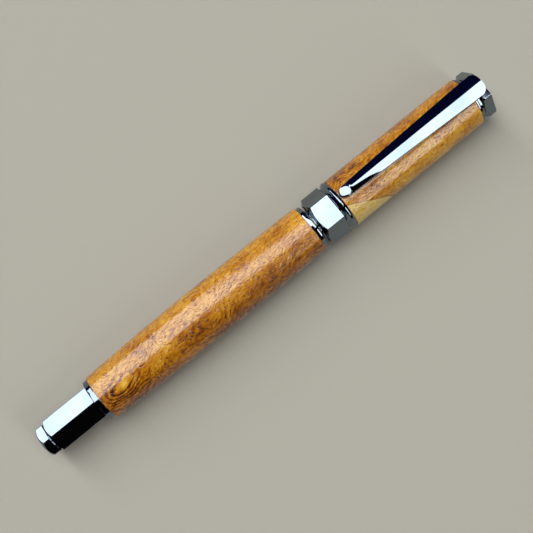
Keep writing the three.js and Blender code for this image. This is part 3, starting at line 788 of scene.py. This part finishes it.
class PEN_OT_stage(bpy.types.Operator):
    """Lay a pale floor, hang the studio lights and set up the camera"""

    bl_idname = "pen.stage"
    bl_label = "Stage"

    def execute(self, context):
        scene = context.scene
        settings = scene.pen_stage
        scene.view_settings.view_transform = "Standard"
        deselect_all()
        bpy.ops.mesh.primitive_plane_add(size=12.0, location=(0, 0, 0))
        floor = named("stage_floor")
        material, tree, shader, place = bare_material("matt_painted_board")
        tooth = add_node(tree, "ShaderNodeTexNoise", {"Vector": place, "Scale": 1.5, "Detail": 4.0})
        pale = (*settings.floor, 1.0)
        paler = (*(min(1.0, c * 1.04) for c in settings.floor), 1.0)
        paint = add_node(
            tree, "ShaderNodeMix", {"Factor": tooth, "A": pale, "B": paler}, data_type="RGBA"
        )
        rough = add_node(tree, "ShaderNodeMapRange", {"Value": tooth, "To Min": 0.75, "To Max": 0.9})
        feed(tree, shader, {"Base Color": paint, "Roughness": rough})
        floor.data.materials.append(material)

        # Three windows of soft light, four metres up, each given by where a level line of sight up from
        # the pen would meet it one metre up: its middle, its size and its turn.
        for name, middle, size, turn in (
            ("strip_light", (-0.24, 1.32), (0.36, 3.4), math.atan2(0.36, 1.0)),
            ("barrel_side_light", (-0.21, 1.5), (0.46, 3.0), 0.0),
            ("cap_side_light", (0.46, -1.6), (0.36, 2.1), math.atan2(0.1, 1.0)),
        ):
            deselect_all()
            bpy.ops.object.light_add(type="AREA", location=(4 * middle[0], 4 * middle[1], 4.0))
            light = bpy.context.object
            light.name = name
            light.rotation_euler = (0, 0, turn)
            light.data.shape = "RECTANGLE"
            light.data.size, light.data.size_y = 4 * size[0], 4 * size[1]
            light.data.energy = settings.radiance * math.pi * 16 * size[0] * size[1]
            light.data.color = (0.93, 0.98, 1.0)

        # A dim room: navy behind the pen, black in front of it.
        world = bpy.data.worlds.new("dim_room")
        world.use_nodes = True
        scene.world = world
        tree = world.node_tree
        side = add_node(
            tree, "ShaderNodeSeparateXYZ", {"Vector": (add_node(tree, "ShaderNodeTexCoord"), "Generated")}
        )
        room = add_node(
            tree,
            "ShaderNodeValToRGB",
            {"Fac": (side, "Y")},
            stops=[(0.0, "#141213"), (0.3, "#0f1644")],
        )
        feed(tree, tree.nodes["Background"], {"Color": room})

        deselect_all()
        bpy.ops.object.camera_add(location=Vector((-12.945, -20.63, 280.332)) * MM)
        camera = bpy.context.object
        camera.rotation_mode = "ZYX"
        camera.rotation_euler = [math.radians(a) for a in (4.2075, -2.736, -39.049)]
        camera.data.sensor_width = 36.0
        camera.data.lens = 71.197
        camera.data.clip_start = 0.01
        scene.camera = camera
        return {"FINISHED"}


# ---- Wood ----------------------------------------------------------------------------------------


def wood_sleeve(name, body, node, parts, finish):
    """A turned wood sleeve, with each stretch of the CAD node's outline divided into parts."""
    profile = finer(outline(node), parts)
    inner = bore(node)
    sleeve = turned(
        name,
        shell(profile, [(profile[-1][0], inner), (profile[0][0], inner)]),
        edge=2 * bpy.context.scene.pen_lathe.edge,
    )
    return place_piece(sleeve, body, "turned_hardwood", node, finish=finish)


class PEN_OT_barrel_wood(bpy.types.Operator):
    """Turn the barrel's wood sleeve"""

    bl_idname = "pen.barrel_wood"
    bl_label = "Barrel Wood"

    def execute(self, context):
        finish = figured_hardwood(
            "figured_hardwood_barrel",
            knot=(-46.3, -1.3, 6.5, 4.6),
            sapwood=-20.0,
            tone_shift=-0.22,
            # Painted shade: the barrel's lower side is darker.
            painted_side_shade=0.032,
        )
        wood_sleeve("barrel_wood", "barrel", "barrel_wood_sleeve", 4, finish)
        return {"FINISHED"}


class PEN_OT_cap_wood(bpy.types.Operator):
    """Turn the cap's wood sleeve"""

    bl_idname = "pen.cap_wood"
    bl_label = "Cap Wood"

    def execute(self, context):
        finish = figured_hardwood(
            "figured_hardwood_cap",
            knot=(79, 3.0, 6.5, 3.0),
            sapwood=1.42,
            tone_shift=-0.22,
            # Painted light: the cap's lower side is lighter.
            painted_side_shade=-0.022,
        )
        wood_sleeve("cap_wood", "cap", "cap_wood_sleeve", 3, finish)
        return {"FINISHED"}


# ---- Barrel --------------------------------------------------------------------------------------


class PEN_OT_barrel_tube(bpy.types.Operator):
    """Draw the barrel's brass tube"""

    bl_idname = "pen.barrel_tube"
    bl_label = "Barrel Tube"

    def execute(self, context):
        sleeve = tube("barrel_tube", "barrel_brass_tube", context.scene.pen_lathe.edge)
        place_piece(sleeve, "barrel", "tube_brass", "barrel_brass_tube")
        return {"FINISHED"}


class PEN_OT_barrel_rings(bpy.types.Operator):
    """Turn the two rings of the barrel, each on its plug, and tap the front one"""

    bl_idname = "pen.barrel_rings"
    bl_label = "Barrel Rings"

    def execute(self, context):
        lathe = context.scene.pen_lathe
        back, joint = span("barrel_front_coupler")
        profile = outline("barrel_front_coupler")
        ring = max(r for _, r in profile)
        plug = max(r for x, r in profile if x < joint - 2 * MM)
        ring_back, chamfer, inner = joint - 1.3 * MM, 0.22 * MM, 3.8 * MM
        outer = [
            (back, plug),
            (ring_back, plug),
            (ring_back, ring),
            (joint - chamfer, ring),
            (joint, ring - chamfer),
        ]
        coupler = turned(
            "barrel_front_ring", shell(outer, [(joint, inner), (back, inner)]), edge=lathe.edge
        )
        drill(coupler, THREAD_HOLE + 0.03 * MM, joint - 0.6 * MM, joint + MM)
        tap = threaded_rod("tap", back - MM, joint - 0.5 * MM, THREAD_HOLE - THREAD_DEPTH, joint)
        combine(coupler, tap, "DIFFERENCE")
        place_piece(clean(coupler), "barrel", "black_nickel", "barrel_front_coupler")

        back, front = span("barrel_end_coupler")
        profile = outline("barrel_end_coupler")
        ring, plug, inner = profile[0][1], profile[-1][1], bore("barrel_end_coupler")
        ring_front = back + 1.5 * MM
        outer = [(back, ring), (ring_front, ring), (ring_front, plug), (front, plug)]
        coupler = turned(
            "barrel_end_ring", shell(outer, [(front, inner), (back, inner)]), edge=lathe.edge
        )
        place_piece(coupler, "barrel", "black_nickel", "barrel_end_coupler")
        return {"FINISHED"}


class PEN_OT_end_post(bpy.types.Operator):
    """Make the hexagonal end post, the magnet in its end and the button over it"""

    bl_idname = "pen.end_post"
    bl_label = "End Post"

    def execute(self, context):
        lathe = context.scene.pen_lathe
        magnet_back, magnet_front = span("post_magnet")
        magnet = outline("post_magnet")[0][1]

        # The post has a corner on top, a cone at its back and a hollow stud in front.
        post_back, stud_front = span("end_post")
        profile = dict(outline("end_post"))
        radius, stud = max(profile.values()), profile[max(profile)]
        front = stud_front - 5 * MM
        envelope = [
            (post_back, radius * APOTHEM - 0.27 * MM),
            (post_back + 0.8 * MM, radius + GAP),
            (front + MM, radius + GAP),
        ]
        post = hexagonal_bar("end_post_hex", post_back, front, radius, 30, envelope)
        combine(post, turned("stud", bar((front - MM, stud), (stud_front, stud))), "UNION")
        drill(post, REFILL_HOLE, front - 5.4 * MM, stud_front + MM)
        drill(post, magnet + GAP, post_back - MM, magnet_front + GAP)
        place_piece(clean(post), "barrel", "black_nickel", "end_post")

        disc = turned(
            "magnet_disc", bar((magnet_back, magnet), (magnet_front, magnet)), edge=2 * lathe.edge
        )
        place_piece(disc, "barrel", "magnet_nickel", "post_magnet")

        # The button has a neck that stops short of the post, and a stem that goes into it.
        back, stem_front = span("post_tip")
        radius = max(r for _, r in outline("post_tip"))
        front, neck = post_back - 0.3 * MM, radius * APOTHEM - 0.45 * MM
        envelope = [
            (back, radius * APOTHEM - 0.3 * MM),
            (back + 0.9 * MM, radius + GAP),
            (front + MM, radius + GAP),
        ]
        button = hexagonal_bar("post_button", back, front, radius, 30, envelope)
        stem = bar(
            (front - 0.5 * MM, neck),
            (post_back - GAP, neck),
            (post_back - GAP, magnet),
            (stem_front, magnet),
        )
        combine(button, turned("stem", stem), "UNION")
        place_piece(clean(button), "barrel", "black_nickel", "post_tip")
        return {"FINISHED"}


# ---- Band ----------------------------------------------------------------------------------------


class PEN_OT_band(bpy.types.Operator):
    """Make the cap's hexagonal band, its magnet and the trim ring"""

    bl_idname = "pen.band"
    bl_label = "Band and Trim Ring"

    def execute(self, context):
        lathe = context.scene.pen_lathe
        back, shank_front = span("centre_band_hex")
        profile = outline("centre_band_hex")
        radius, shank = max(r for _, r in profile), profile[-1][1]
        front, flat = shank_front - 6 * MM, radius * APOTHEM
        envelope = [
            (back, flat - 0.12 * MM),
            (back + 0.14 * MM, flat + 0.02 * MM),
            (back + 0.78 * MM, radius + GAP),
            (front + MM, radius + GAP),
        ]
        band = hexagonal_bar("centre_band", back, front, radius, 0, envelope)
        combine(band, turned("shank", bar((front - MM, shank), (shank_front, shank))), "UNION")
        magnet = outline("cap_magnet_ring")[0][1]
        drill(band, magnet + GAP, back - MM, span("cap_magnet_ring")[1] + GAP)
        drill(band, bore("cap_magnet_ring"), back - MM, shank_front + MM)
        place_piece(clean(band), "cap", "black_nickel", "centre_band_hex")

        ring = tube("band_magnet", "cap_magnet_ring", lathe.edge)
        place_piece(ring, "cap", "magnet_nickel", "cap_magnet_ring")

        # Trim ring: a hollow, then a full bead.
        back, front = span("cap_trim_ring")
        radius = max(r for _, r in outline("cap_trim_ring"))
        hole = bore("cap_trim_ring")
        outer = [
            (back, radius - 0.85 * MM),
            (back + 0.3 * MM, radius - 0.95 * MM),
            (back + 0.88 * MM, radius - 0.3 * MM),
            (back + 1.18 * MM, radius - 0.02 * MM),
            (back + 1.42 * MM, radius),
            (front - 0.45 * MM, radius - 0.02 * MM),
            (front - 0.2 * MM, radius - 0.1 * MM),
            (front, radius - 0.24 * MM),
        ]
        trim = turned("trim_ring", shell(outer, [(front, hole), (back, hole)]), edge=lathe.edge)
        place_piece(trim, "cap", "black_nickel", "cap_trim_ring")
        return {"FINISHED"}


# ---- Clip and finial -----------------------------------------------------------------------------


def rolled(obj, angle):
    """Turns a piece about the pen's axis, towards +Y."""
    turn = Matrix.Translation(AXIS) @ Matrix.Rotation(-angle, 4, "X") @ Matrix.Translation(-AXIS)
    obj.matrix_world = turn @ obj.matrix_world
    return settle(obj)


class PEN_OT_clip(bpy.types.Operator):
    """Make the ridged clip and the ring that holds it"""

    bl_idname = "pen.clip"
    bl_label = "Clip"

    def execute(self, context):
        lathe, sizes = context.scene.pen_lathe, context.scene.pen_clip
        ring_back, ring_front = span("clip_ring")
        tip, end = span("clip_arm")
        wood = outline("cap_wood_sleeve")[0][1]
        height = wood + 0.42 * MM

        # The arm: a ridged section, drawn out from over the finial to the tip.
        half = sizes.root_width / 2
        crest = sizes.thickness
        side = [(half - 0.12 * MM, 0), (half, 0.12 * MM), (half, crest - sizes.ridge - 0.14 * MM)]
        slope = [(half * (0.98 - i / 4.2), crest - sizes.ridge * (1 - i / 4) ** 1.3) for i in range(4)]
        right = [*side, *slope]
        corners = [*right, (0, crest), *((-y, z) for y, z in reversed(right))]
        arm = face_of("clip", [AXIS + Vector((end, y, height + z)) for y, z in corners])
        narrow = sizes.tip_width / sizes.root_width
        taper = ring_back - tip - sizes.tip_width / 2
        here, low, wide = end, 0.0, 1.0
        for station, rise in (
            (ring_back + 1.5 * MM, 0.0),
            (ring_back, 0.01 * MM),
            (ring_back - 2 * MM, 0.03 * MM),
            (ring_back - 4 * MM, 0.07 * MM),
            (ring_back - 8 * MM, 0.15 * MM),
            (ring_back - 12 * MM, 0.22 * MM),
            (ring_back - 17 * MM, 0.28 * MM),
            ((tip + ring_back) / 2, 0.3 * MM),
            (tip + 16 * MM, 0.29 * MM),
            (tip + 11 * MM, 0.25 * MM),
            (tip + 7 * MM, 0.16 * MM),
            (tip + 4 * MM, 0.05 * MM),
            (tip + 2 * MM, -0.1 * MM),
            (tip, -0.2 * MM),
        ):
            bpy.ops.mesh.extrude_region_move(
                TRANSFORM_OT_translate={"value": (station - here, 0, rise - low)}
            )
            width = 1 - (1 - narrow) * min(1, max(0, (ring_back - station) / taper))
            bpy.ops.transform.resize(value=(1, width / wide, (width / wide) ** 0.25))
            here, low, wide = station, rise, width
        bpy.ops.object.mode_set(mode="OBJECT")
        settle(clean(arm))

        # Its plan: the head's corners rounded, the tip a half circle.
        round_head, round_tip = 2.1 * MM, sizes.tip_width / 2 - 0.15 * MM
        outer = half + GAP
        quarter = [math.pi / 2 * i / 10 for i in range(11)]
        plan = [
            (end - round_head + round_head * math.sin(t), round_head - half - round_head * math.cos(t))
            for t in quarter
        ]
        plan[0] = (end - round_head, -half)
        plan += [(x, -y) for x, y in reversed(plan)]
        drop = tip + 2 * MM
        beside = sizes.tip_width / 2 + GAP
        plan += [(ring_back, outer), (drop + 0.5 * MM, beside)]
        plan += [
            (drop - round_tip * math.sin(math.pi * i / 20), round_tip * math.cos(math.pi * i / 20))
            for i in range(21)
        ]
        plan += [(drop + 0.5 * MM, -beside), (ring_back, -outer)]
        cutter = face_of("plan", [AXIS + Vector((x, y, height - MM)) for x, y in plan])
        bpy.ops.mesh.extrude_region_move(TRANSFORM_OT_translate={"value": (0, 0, 4 * MM)})
        bpy.ops.object.mode_set(mode="OBJECT")
        combine(arm, settle(clean(cutter)), "INTERSECT")

        # Under its head, a block that comes down close to the finial's flat.
        finial_flat = max(r for _, r in outline("finial_hex")) * APOTHEM
        floor = finial_flat + 0.45 * MM
        headed = block(
            "head",
            (ring_front + 0.15 * MM, -half + 0.5 * MM, floor),
            (end - 0.02 * MM, half - 0.5 * MM, height + 0.5 * MM),
        )
        round_corners(headed, end - 0.02 * MM, 1.7 * MM)
        soften(headed, 0.1 * MM)
        combine(arm, headed, "UNION")

        # At its tip, a smooth drop, nearly flat on top, that stays just clear of the wood. It's turned
        # on the pen's axis and then stood on end.
        drop_height = 1.55 * MM
        radius = sizes.tip_width / 2
        roundness = 0.4
        dome = []
        for i in range(25):
            angle = math.pi * i / 24
            depth = math.copysign(abs(math.cos(angle)) ** roundness, -math.cos(angle))
            spread = max(0.0, math.sin(angle)) ** roundness
            dome.append((depth * drop_height / 2, spread * radius))
        dome[0], dome[-1] = (-drop_height / 2, 0), (drop_height / 2, 0)
        pad = turned("drop", dome)
        place = AXIS + Vector((drop, 0, wood + 0.1 * MM + drop_height / 2))
        pad.matrix_world = (
            Matrix.Translation(place)
            @ Matrix.Diagonal(((drop - tip) / radius, 1, 1, 1))
            @ Matrix.Rotation(math.pi / 2, 4, "Y")
            @ Matrix.Translation(-AXIS)
            @ pad.matrix_world
        )
        combine(arm, clean(settle(pad)), "UNION")
        rolled(clean(arm), sizes.turn)
        shade(arm, angle=10)
        arm.data.materials.clear()
        arm.data.materials.append(finish_named("black_nickel"))
        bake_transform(arm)
        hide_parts("clip_arm")

        # The ring under the finial, with the riser that carries the clip.
        outer = wood - 0.35 * MM
        ring = turned(
            "clip_washer",
            shell(
                [(ring_back, outer), (ring_front, outer)],
                [(ring_front, 2.65 * MM), (ring_back, 2.65 * MM)],
            ),
            edge=lathe.edge,
        )
        post = block(
            "riser",
            (ring_back + 0.01 * MM, -2 * MM, outer - 2 * MM),
            (ring_front - 0.01 * MM, 2 * MM, height - 0.1 * MM),
        )
        soften(post, 0.06 * MM)
        combine(ring, post, "UNION")
        rolled(clean(ring), sizes.turn)
        place_piece(ring, "cap", "black_nickel", "clip_ring")
        return {"FINISHED"}


class PEN_OT_finial(bpy.types.Operator):
    """Make the hexagonal finial on its turned neck"""

    bl_idname = "pen.finial"
    bl_label = "Finial"

    def execute(self, context):
        sizes = context.scene.pen_finial
        boss_back, end = span("finial_hex")
        neck_back = span("clip_ring")[1] + GAP
        radius, boss = max(r for _, r in outline("finial_hex")), 2.6 * MM
        envelope = [
            (boss_back, boss),
            (neck_back, boss),
            (neck_back, sizes.neck - 0.3 * MM),
            (neck_back + 0.25 * MM, sizes.neck - 0.03 * MM),
            (neck_back + 0.74 * MM, sizes.neck),
            (neck_back + 1.8 * MM, radius + GAP),
            (end - 0.28 * MM, radius + GAP),
            (end + 0.28 * MM, radius - 0.55 * MM),
        ]
        finial = hexagonal_bar("finial", boss_back - MM, end, radius, 0, envelope)
        drill(finial, 1.55 * MM, boss_back - MM, end - 0.29 * MM)
        rolled(clean(finial), sizes.turn)
        place_piece(finial, "cap", "black_nickel", "finial_hex")
        return {"FINISHED"}


# ---- Grip section --------------------------------------------------------------------------------


class PEN_OT_section(bpy.types.Operator):
    """Make the threaded collar, its magnet ring and the grip"""

    bl_idname = "pen.section"
    bl_label = "Grip Section"

    def execute(self, context):
        lathe = context.scene.pen_lathe
        back, front = span("section_collar")
        joint = span("barrel_front_coupler")[1]
        core = outline("section_magnet_ring")[0][1] - 0.8 * MM
        flange = max(r for _, r in outline("section_collar")) - 0.4 * MM
        flange_back, flange_front = joint + GAP, joint + 0.9 * MM
        neck, groove = 3.7 * MM, flange - 0.7 * MM
        collar = turned(
            "section_thread_collar",
            bar(
                (joint - 0.62 * MM, neck),
                (flange_back, neck),
                (flange_back, flange),
                (joint + 0.2 * MM, flange),
                (joint + 0.35 * MM, groove),
                (joint + 0.6 * MM, groove),
                (joint + 0.75 * MM, flange),
                (flange_front, flange),
                (flange_front, core),
                (front, core),
            ),
            edge=lathe.edge,
        )
        thread = threaded_rod("thread", back + 0.02 * MM, joint - 0.5 * MM, THREAD_ROOT, joint)
        combine(collar, thread, "UNION")
        drill(collar, REFILL_HOLE, back - MM, front + MM)
        place_piece(clean(collar), "section", "black_nickel", "section_collar")

        magnet = tube("section_magnet", "section_magnet_ring", lathe.edge)
        place_piece(magnet, "section", "magnet_nickel", "section_magnet_ring")

        back, front = span("grip_sleeve")
        tip_hole, nose_hole, nose_seat = 1.35 * MM, 2.3 * MM, front - 11.2 * MM
        inside = [
            (front, tip_hole),
            (front - 2.15 * MM, tip_hole),
            (front - 2.15 * MM, nose_hole),
            (nose_seat, nose_hole),
            (nose_seat, REFILL_HOLE),
            (back + 10.1 * MM, REFILL_HOLE),
            (back + 10.1 * MM, core + GAP),
            (back, core + GAP),
        ]
        grip = turned("grip", shell(outline("grip_sleeve"), inside), edge=lathe.edge)
        place_piece(grip, "section", "black_nickel", "grip_sleeve")
        return {"FINISHED"}


# ---- Refill --------------------------------------------------------------------------------------


class PEN_OT_refill(bpy.types.Operator):
    """Make the refill: its tube, plug, fibre, nose, tip and ball"""

    bl_idname = "pen.refill"
    bl_label = "Refill"

    def execute(self, context):
        lathe = context.scene.pen_lathe
        back, tube_front = span("refill_tube")
        outer, stem = outline("refill_tube")[0][1], bore("refill_tube") - GAP
        sleeve = tube("refill_barrel", "refill_tube", lathe.edge / 2)
        place_piece(sleeve, "refill", "refill_steel", "refill_tube")

        plug_back, plug_front = span("refill_end_plug")
        plug = turned(
            "refill_plug",
            bar(
                (plug_back, outer - 0.3 * MM),
                (plug_back + 0.3 * MM, outer),
                (back - GAP, outer),
                (back - GAP, stem),
                (plug_front, stem),
            ),
            edge=lathe.edge,
        )
        place_piece(plug, "refill", "black_plastic", "refill_end_plug")

        back, front = span("ink_reservoir")
        radius = outline("ink_reservoir")[0][1]
        fibre = turned("ink_fibre_rod", bar((back, radius), (front, radius)), edge=2 * lathe.edge)
        place_piece(fibre, "refill", "ink_fibre", "ink_reservoir")

        back, nose_front = span("refill_nose")
        hole, nose, shoulder = bore("refill_nose"), 2.1 * MM, tube_front + 0.04 * MM
        outside = [
            (back, stem),
            (shoulder, stem),
            (shoulder, nose),
            (nose_front - 1.21 * MM, nose),
            (nose_front, 1.5 * MM),
        ]
        nose_cone = turned(
            "refill_nose_cone", shell(outside, [(nose_front, hole), (back, hole)]), edge=lathe.edge
        )
        place_piece(nose_cone, "refill", "black_plastic", "refill_nose")

        # The tip is a stem, a collar and a cone, with the ball's socket in its end.
        back, front = span("refill_tip")
        collar_back, socket_floor = nose_front + GAP, front - 0.385 * MM
        pin, collar, rim, socket = 0.8 * MM, 1.15 * MM, 0.46 * MM, 0.39 * MM
        tip = turned(
            "refill_writing_tip",
            [
                (back, 0),
                (back, pin),
                (collar_back, pin),
                (collar_back, collar),
                (collar_back + 2.6 * MM, collar),
                (front, rim),
                (front, socket),
                (socket_floor, socket),
                (socket_floor, 0),
            ],
            edge=lathe.edge / 3,
        )
        place_piece(tip, "refill", "refill_steel", "refill_tip")

        low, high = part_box("writing_ball")
        middle, radius = (low.x + high.x) / 2, (high.x - low.x) / 2
        half_circle = [
            (middle - radius * math.cos(math.pi * i / 16), radius * math.sin(math.pi * i / 16))
            for i in range(17)
        ]
        ball = turned("tip_ball", half_circle)
        place_piece(ball, "ball", "tungsten_carbide", "writing_ball")
        return {"FINISHED"}


class PEN_OT_spring(bpy.types.Operator):
    """Wind the spring behind the refill"""

    bl_idname = "pen.spring"
    bl_label = "Spring"

    def execute(self, context):
        sizes = context.scene.pen_spring
        back, front = span("refill_spring")
        low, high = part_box("refill_spring")
        radius = (high.y - low.y) / 2 - sizes.wire / 2
        deselect_all()
        bpy.ops.mesh.primitive_circle_add(
            vertices=12,
            radius=sizes.wire / 2,
            location=AXIS + Vector((back + sizes.wire / 2, 0, radius)),
            rotation=(math.pi / 2, 0, 0),
        )
        spring = settle(named("spring_coil"))
        bpy.context.scene.cursor.location = AXIS
        bpy.ops.object.origin_set(type="ORIGIN_CURSOR")
        modify(
            spring,
            "SCREW",
            axis="X",
            angle=2 * math.pi * sizes.coils,
            screw_offset=front - back - sizes.wire,
            steps=32 * sizes.coils,
            use_merge_vertices=False,
        )
        settle(spring)
        bpy.ops.object.mode_set(mode="EDIT")
        bpy.ops.mesh.select_all(action="SELECT")
        bpy.ops.mesh.region_to_loop()
        bpy.ops.mesh.edge_face_add()
        bpy.ops.object.mode_set(mode="OBJECT")
        clean(spring)
        shade(spring)
        spring.data.materials.append(finish_named("spring_steel"))
        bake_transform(spring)
        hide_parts("refill_spring")
        return {"FINISHED"}


# ---- Inside the cap ------------------------------------------------------------------------------


class PEN_OT_cap_inside(bpy.types.Operator):
    """Make the cap's tube, inner cap, bush and screw"""

    bl_idname = "pen.cap_inside"
    bl_label = "Inside the Cap"

    def execute(self, context):
        lathe = context.scene.pen_lathe
        place_piece(
            tube("cap_tube", "cap_brass_tube", lathe.edge), "cap", "tube_brass", "cap_brass_tube"
        )

        back, front = span("cap_inner_liner")
        outer = max(r for _, r in outline("cap_inner_liner"))
        mouth, inner = outer - 0.52 * MM, outer - 0.92 * MM
        liner = turned(
            "inner_cap",
            [
                (back, mouth),
                (back, outer),
                (front, outer),
                (front, 0),
                (front - MM, 0),
                (front - MM, inner),
                (back + MM, inner),
                (back, mouth),
            ],
            edge=lathe.edge,
        )
        place_piece(liner, "cap", "white_plastic", "cap_inner_liner")

        # The bush, bored for the screw and counterbored for its head.
        back, front = span("cap_plug")
        screw_hole, counterbore, seat = 1.65 * MM, 3 * MM, back + 1.9 * MM
        inside = [(front, screw_hole), (seat, screw_hole), (seat, counterbore), (back, counterbore)]
        bush = turned("cap_bush", shell([(back, outer), (front, outer)], inside), edge=lathe.edge)
        place_piece(bush, "cap", "tube_brass", "cap_plug")

        back, front = span("cap_screw")
        head, shank, head_front = 2.8 * MM, 1.5 * MM, back + 1.61 * MM
        screw = turned(
            "finial_screw",
            bar(
                (back, head - 0.5 * MM),
                (back + 0.5 * MM, head),
                (head_front, head),
                (head_front, shank),
                (front - 0.3 * MM, shank),
                (front, shank - 0.3 * MM),
            ),
            edge=lathe.edge,
        )
        slot = block("slot", (back - MM, -4 * MM, -0.3 * MM), (back + 0.7 * MM, 4 * MM, 0.3 * MM))
        combine(screw, slot, "DIFFERENCE")
        place_piece(clean(screw), "cap", "refill_steel", "cap_screw")
        return {"FINISHED"}


# ---- Panel and registration ----------------------------------------------------------------------


class PEN_PT_panel(bpy.types.Panel):
    """The pen's sizes, and the buttons that build it piece by piece"""

    bl_idname = "PEN_PT_panel"
    bl_label = "Rollerball Pen"
    bl_space_type = "VIEW_3D"
    bl_region_type = "UI"
    bl_category = "Pen"

    def draw(self, context):
        layout = self.layout
        for group in SETTINGS:
            box = layout.box()
            box.label(text=group.title())
            settings = getattr(context.scene, f"pen_{group}")
            for name in settings.__annotations__:
                box.prop(settings, name)
        for operator in OPERATORS:
            layout.operator(operator.bl_idname)


SETTINGS = {
    "lathe": PenLatheSettings,
    "clip": PenClipSettings,
    "finial": PenFinialSettings,
    "spring": PenSpringSettings,
    "stage": PenStageSettings,
}
OPERATORS = (
    PEN_OT_stage,
    PEN_OT_barrel_wood,
    PEN_OT_cap_wood,
    PEN_OT_barrel_tube,
    PEN_OT_barrel_rings,
    PEN_OT_end_post,
    PEN_OT_band,
    PEN_OT_clip,
    PEN_OT_finial,
    PEN_OT_section,
    PEN_OT_refill,
    PEN_OT_spring,
    PEN_OT_cap_inside,
)


def register():
    for cls in (*SETTINGS.values(), *OPERATORS, PEN_PT_panel):
        bpy.utils.register_class(cls)
    for group, cls in SETTINGS.items():
        setattr(bpy.types.Scene, f"pen_{group}", PointerProperty(type=cls))


def unregister():
    for group in SETTINGS:
        delattr(bpy.types.Scene, f"pen_{group}")
    for cls in reversed((*SETTINGS.values(), *OPERATORS, PEN_PT_panel)):
        bpy.utils.unregister_class(cls)


def main():
    register()
    for operator in OPERATORS:
        group, name = operator.bl_idname.split(".")
        result = getattr(getattr(bpy.ops, group), name)()
        if result != {"FINISHED"}:
            raise RuntimeError(f"{operator.bl_label} ended with {result}")
    deselect_all()


if __name__ == "__main__":
    main()
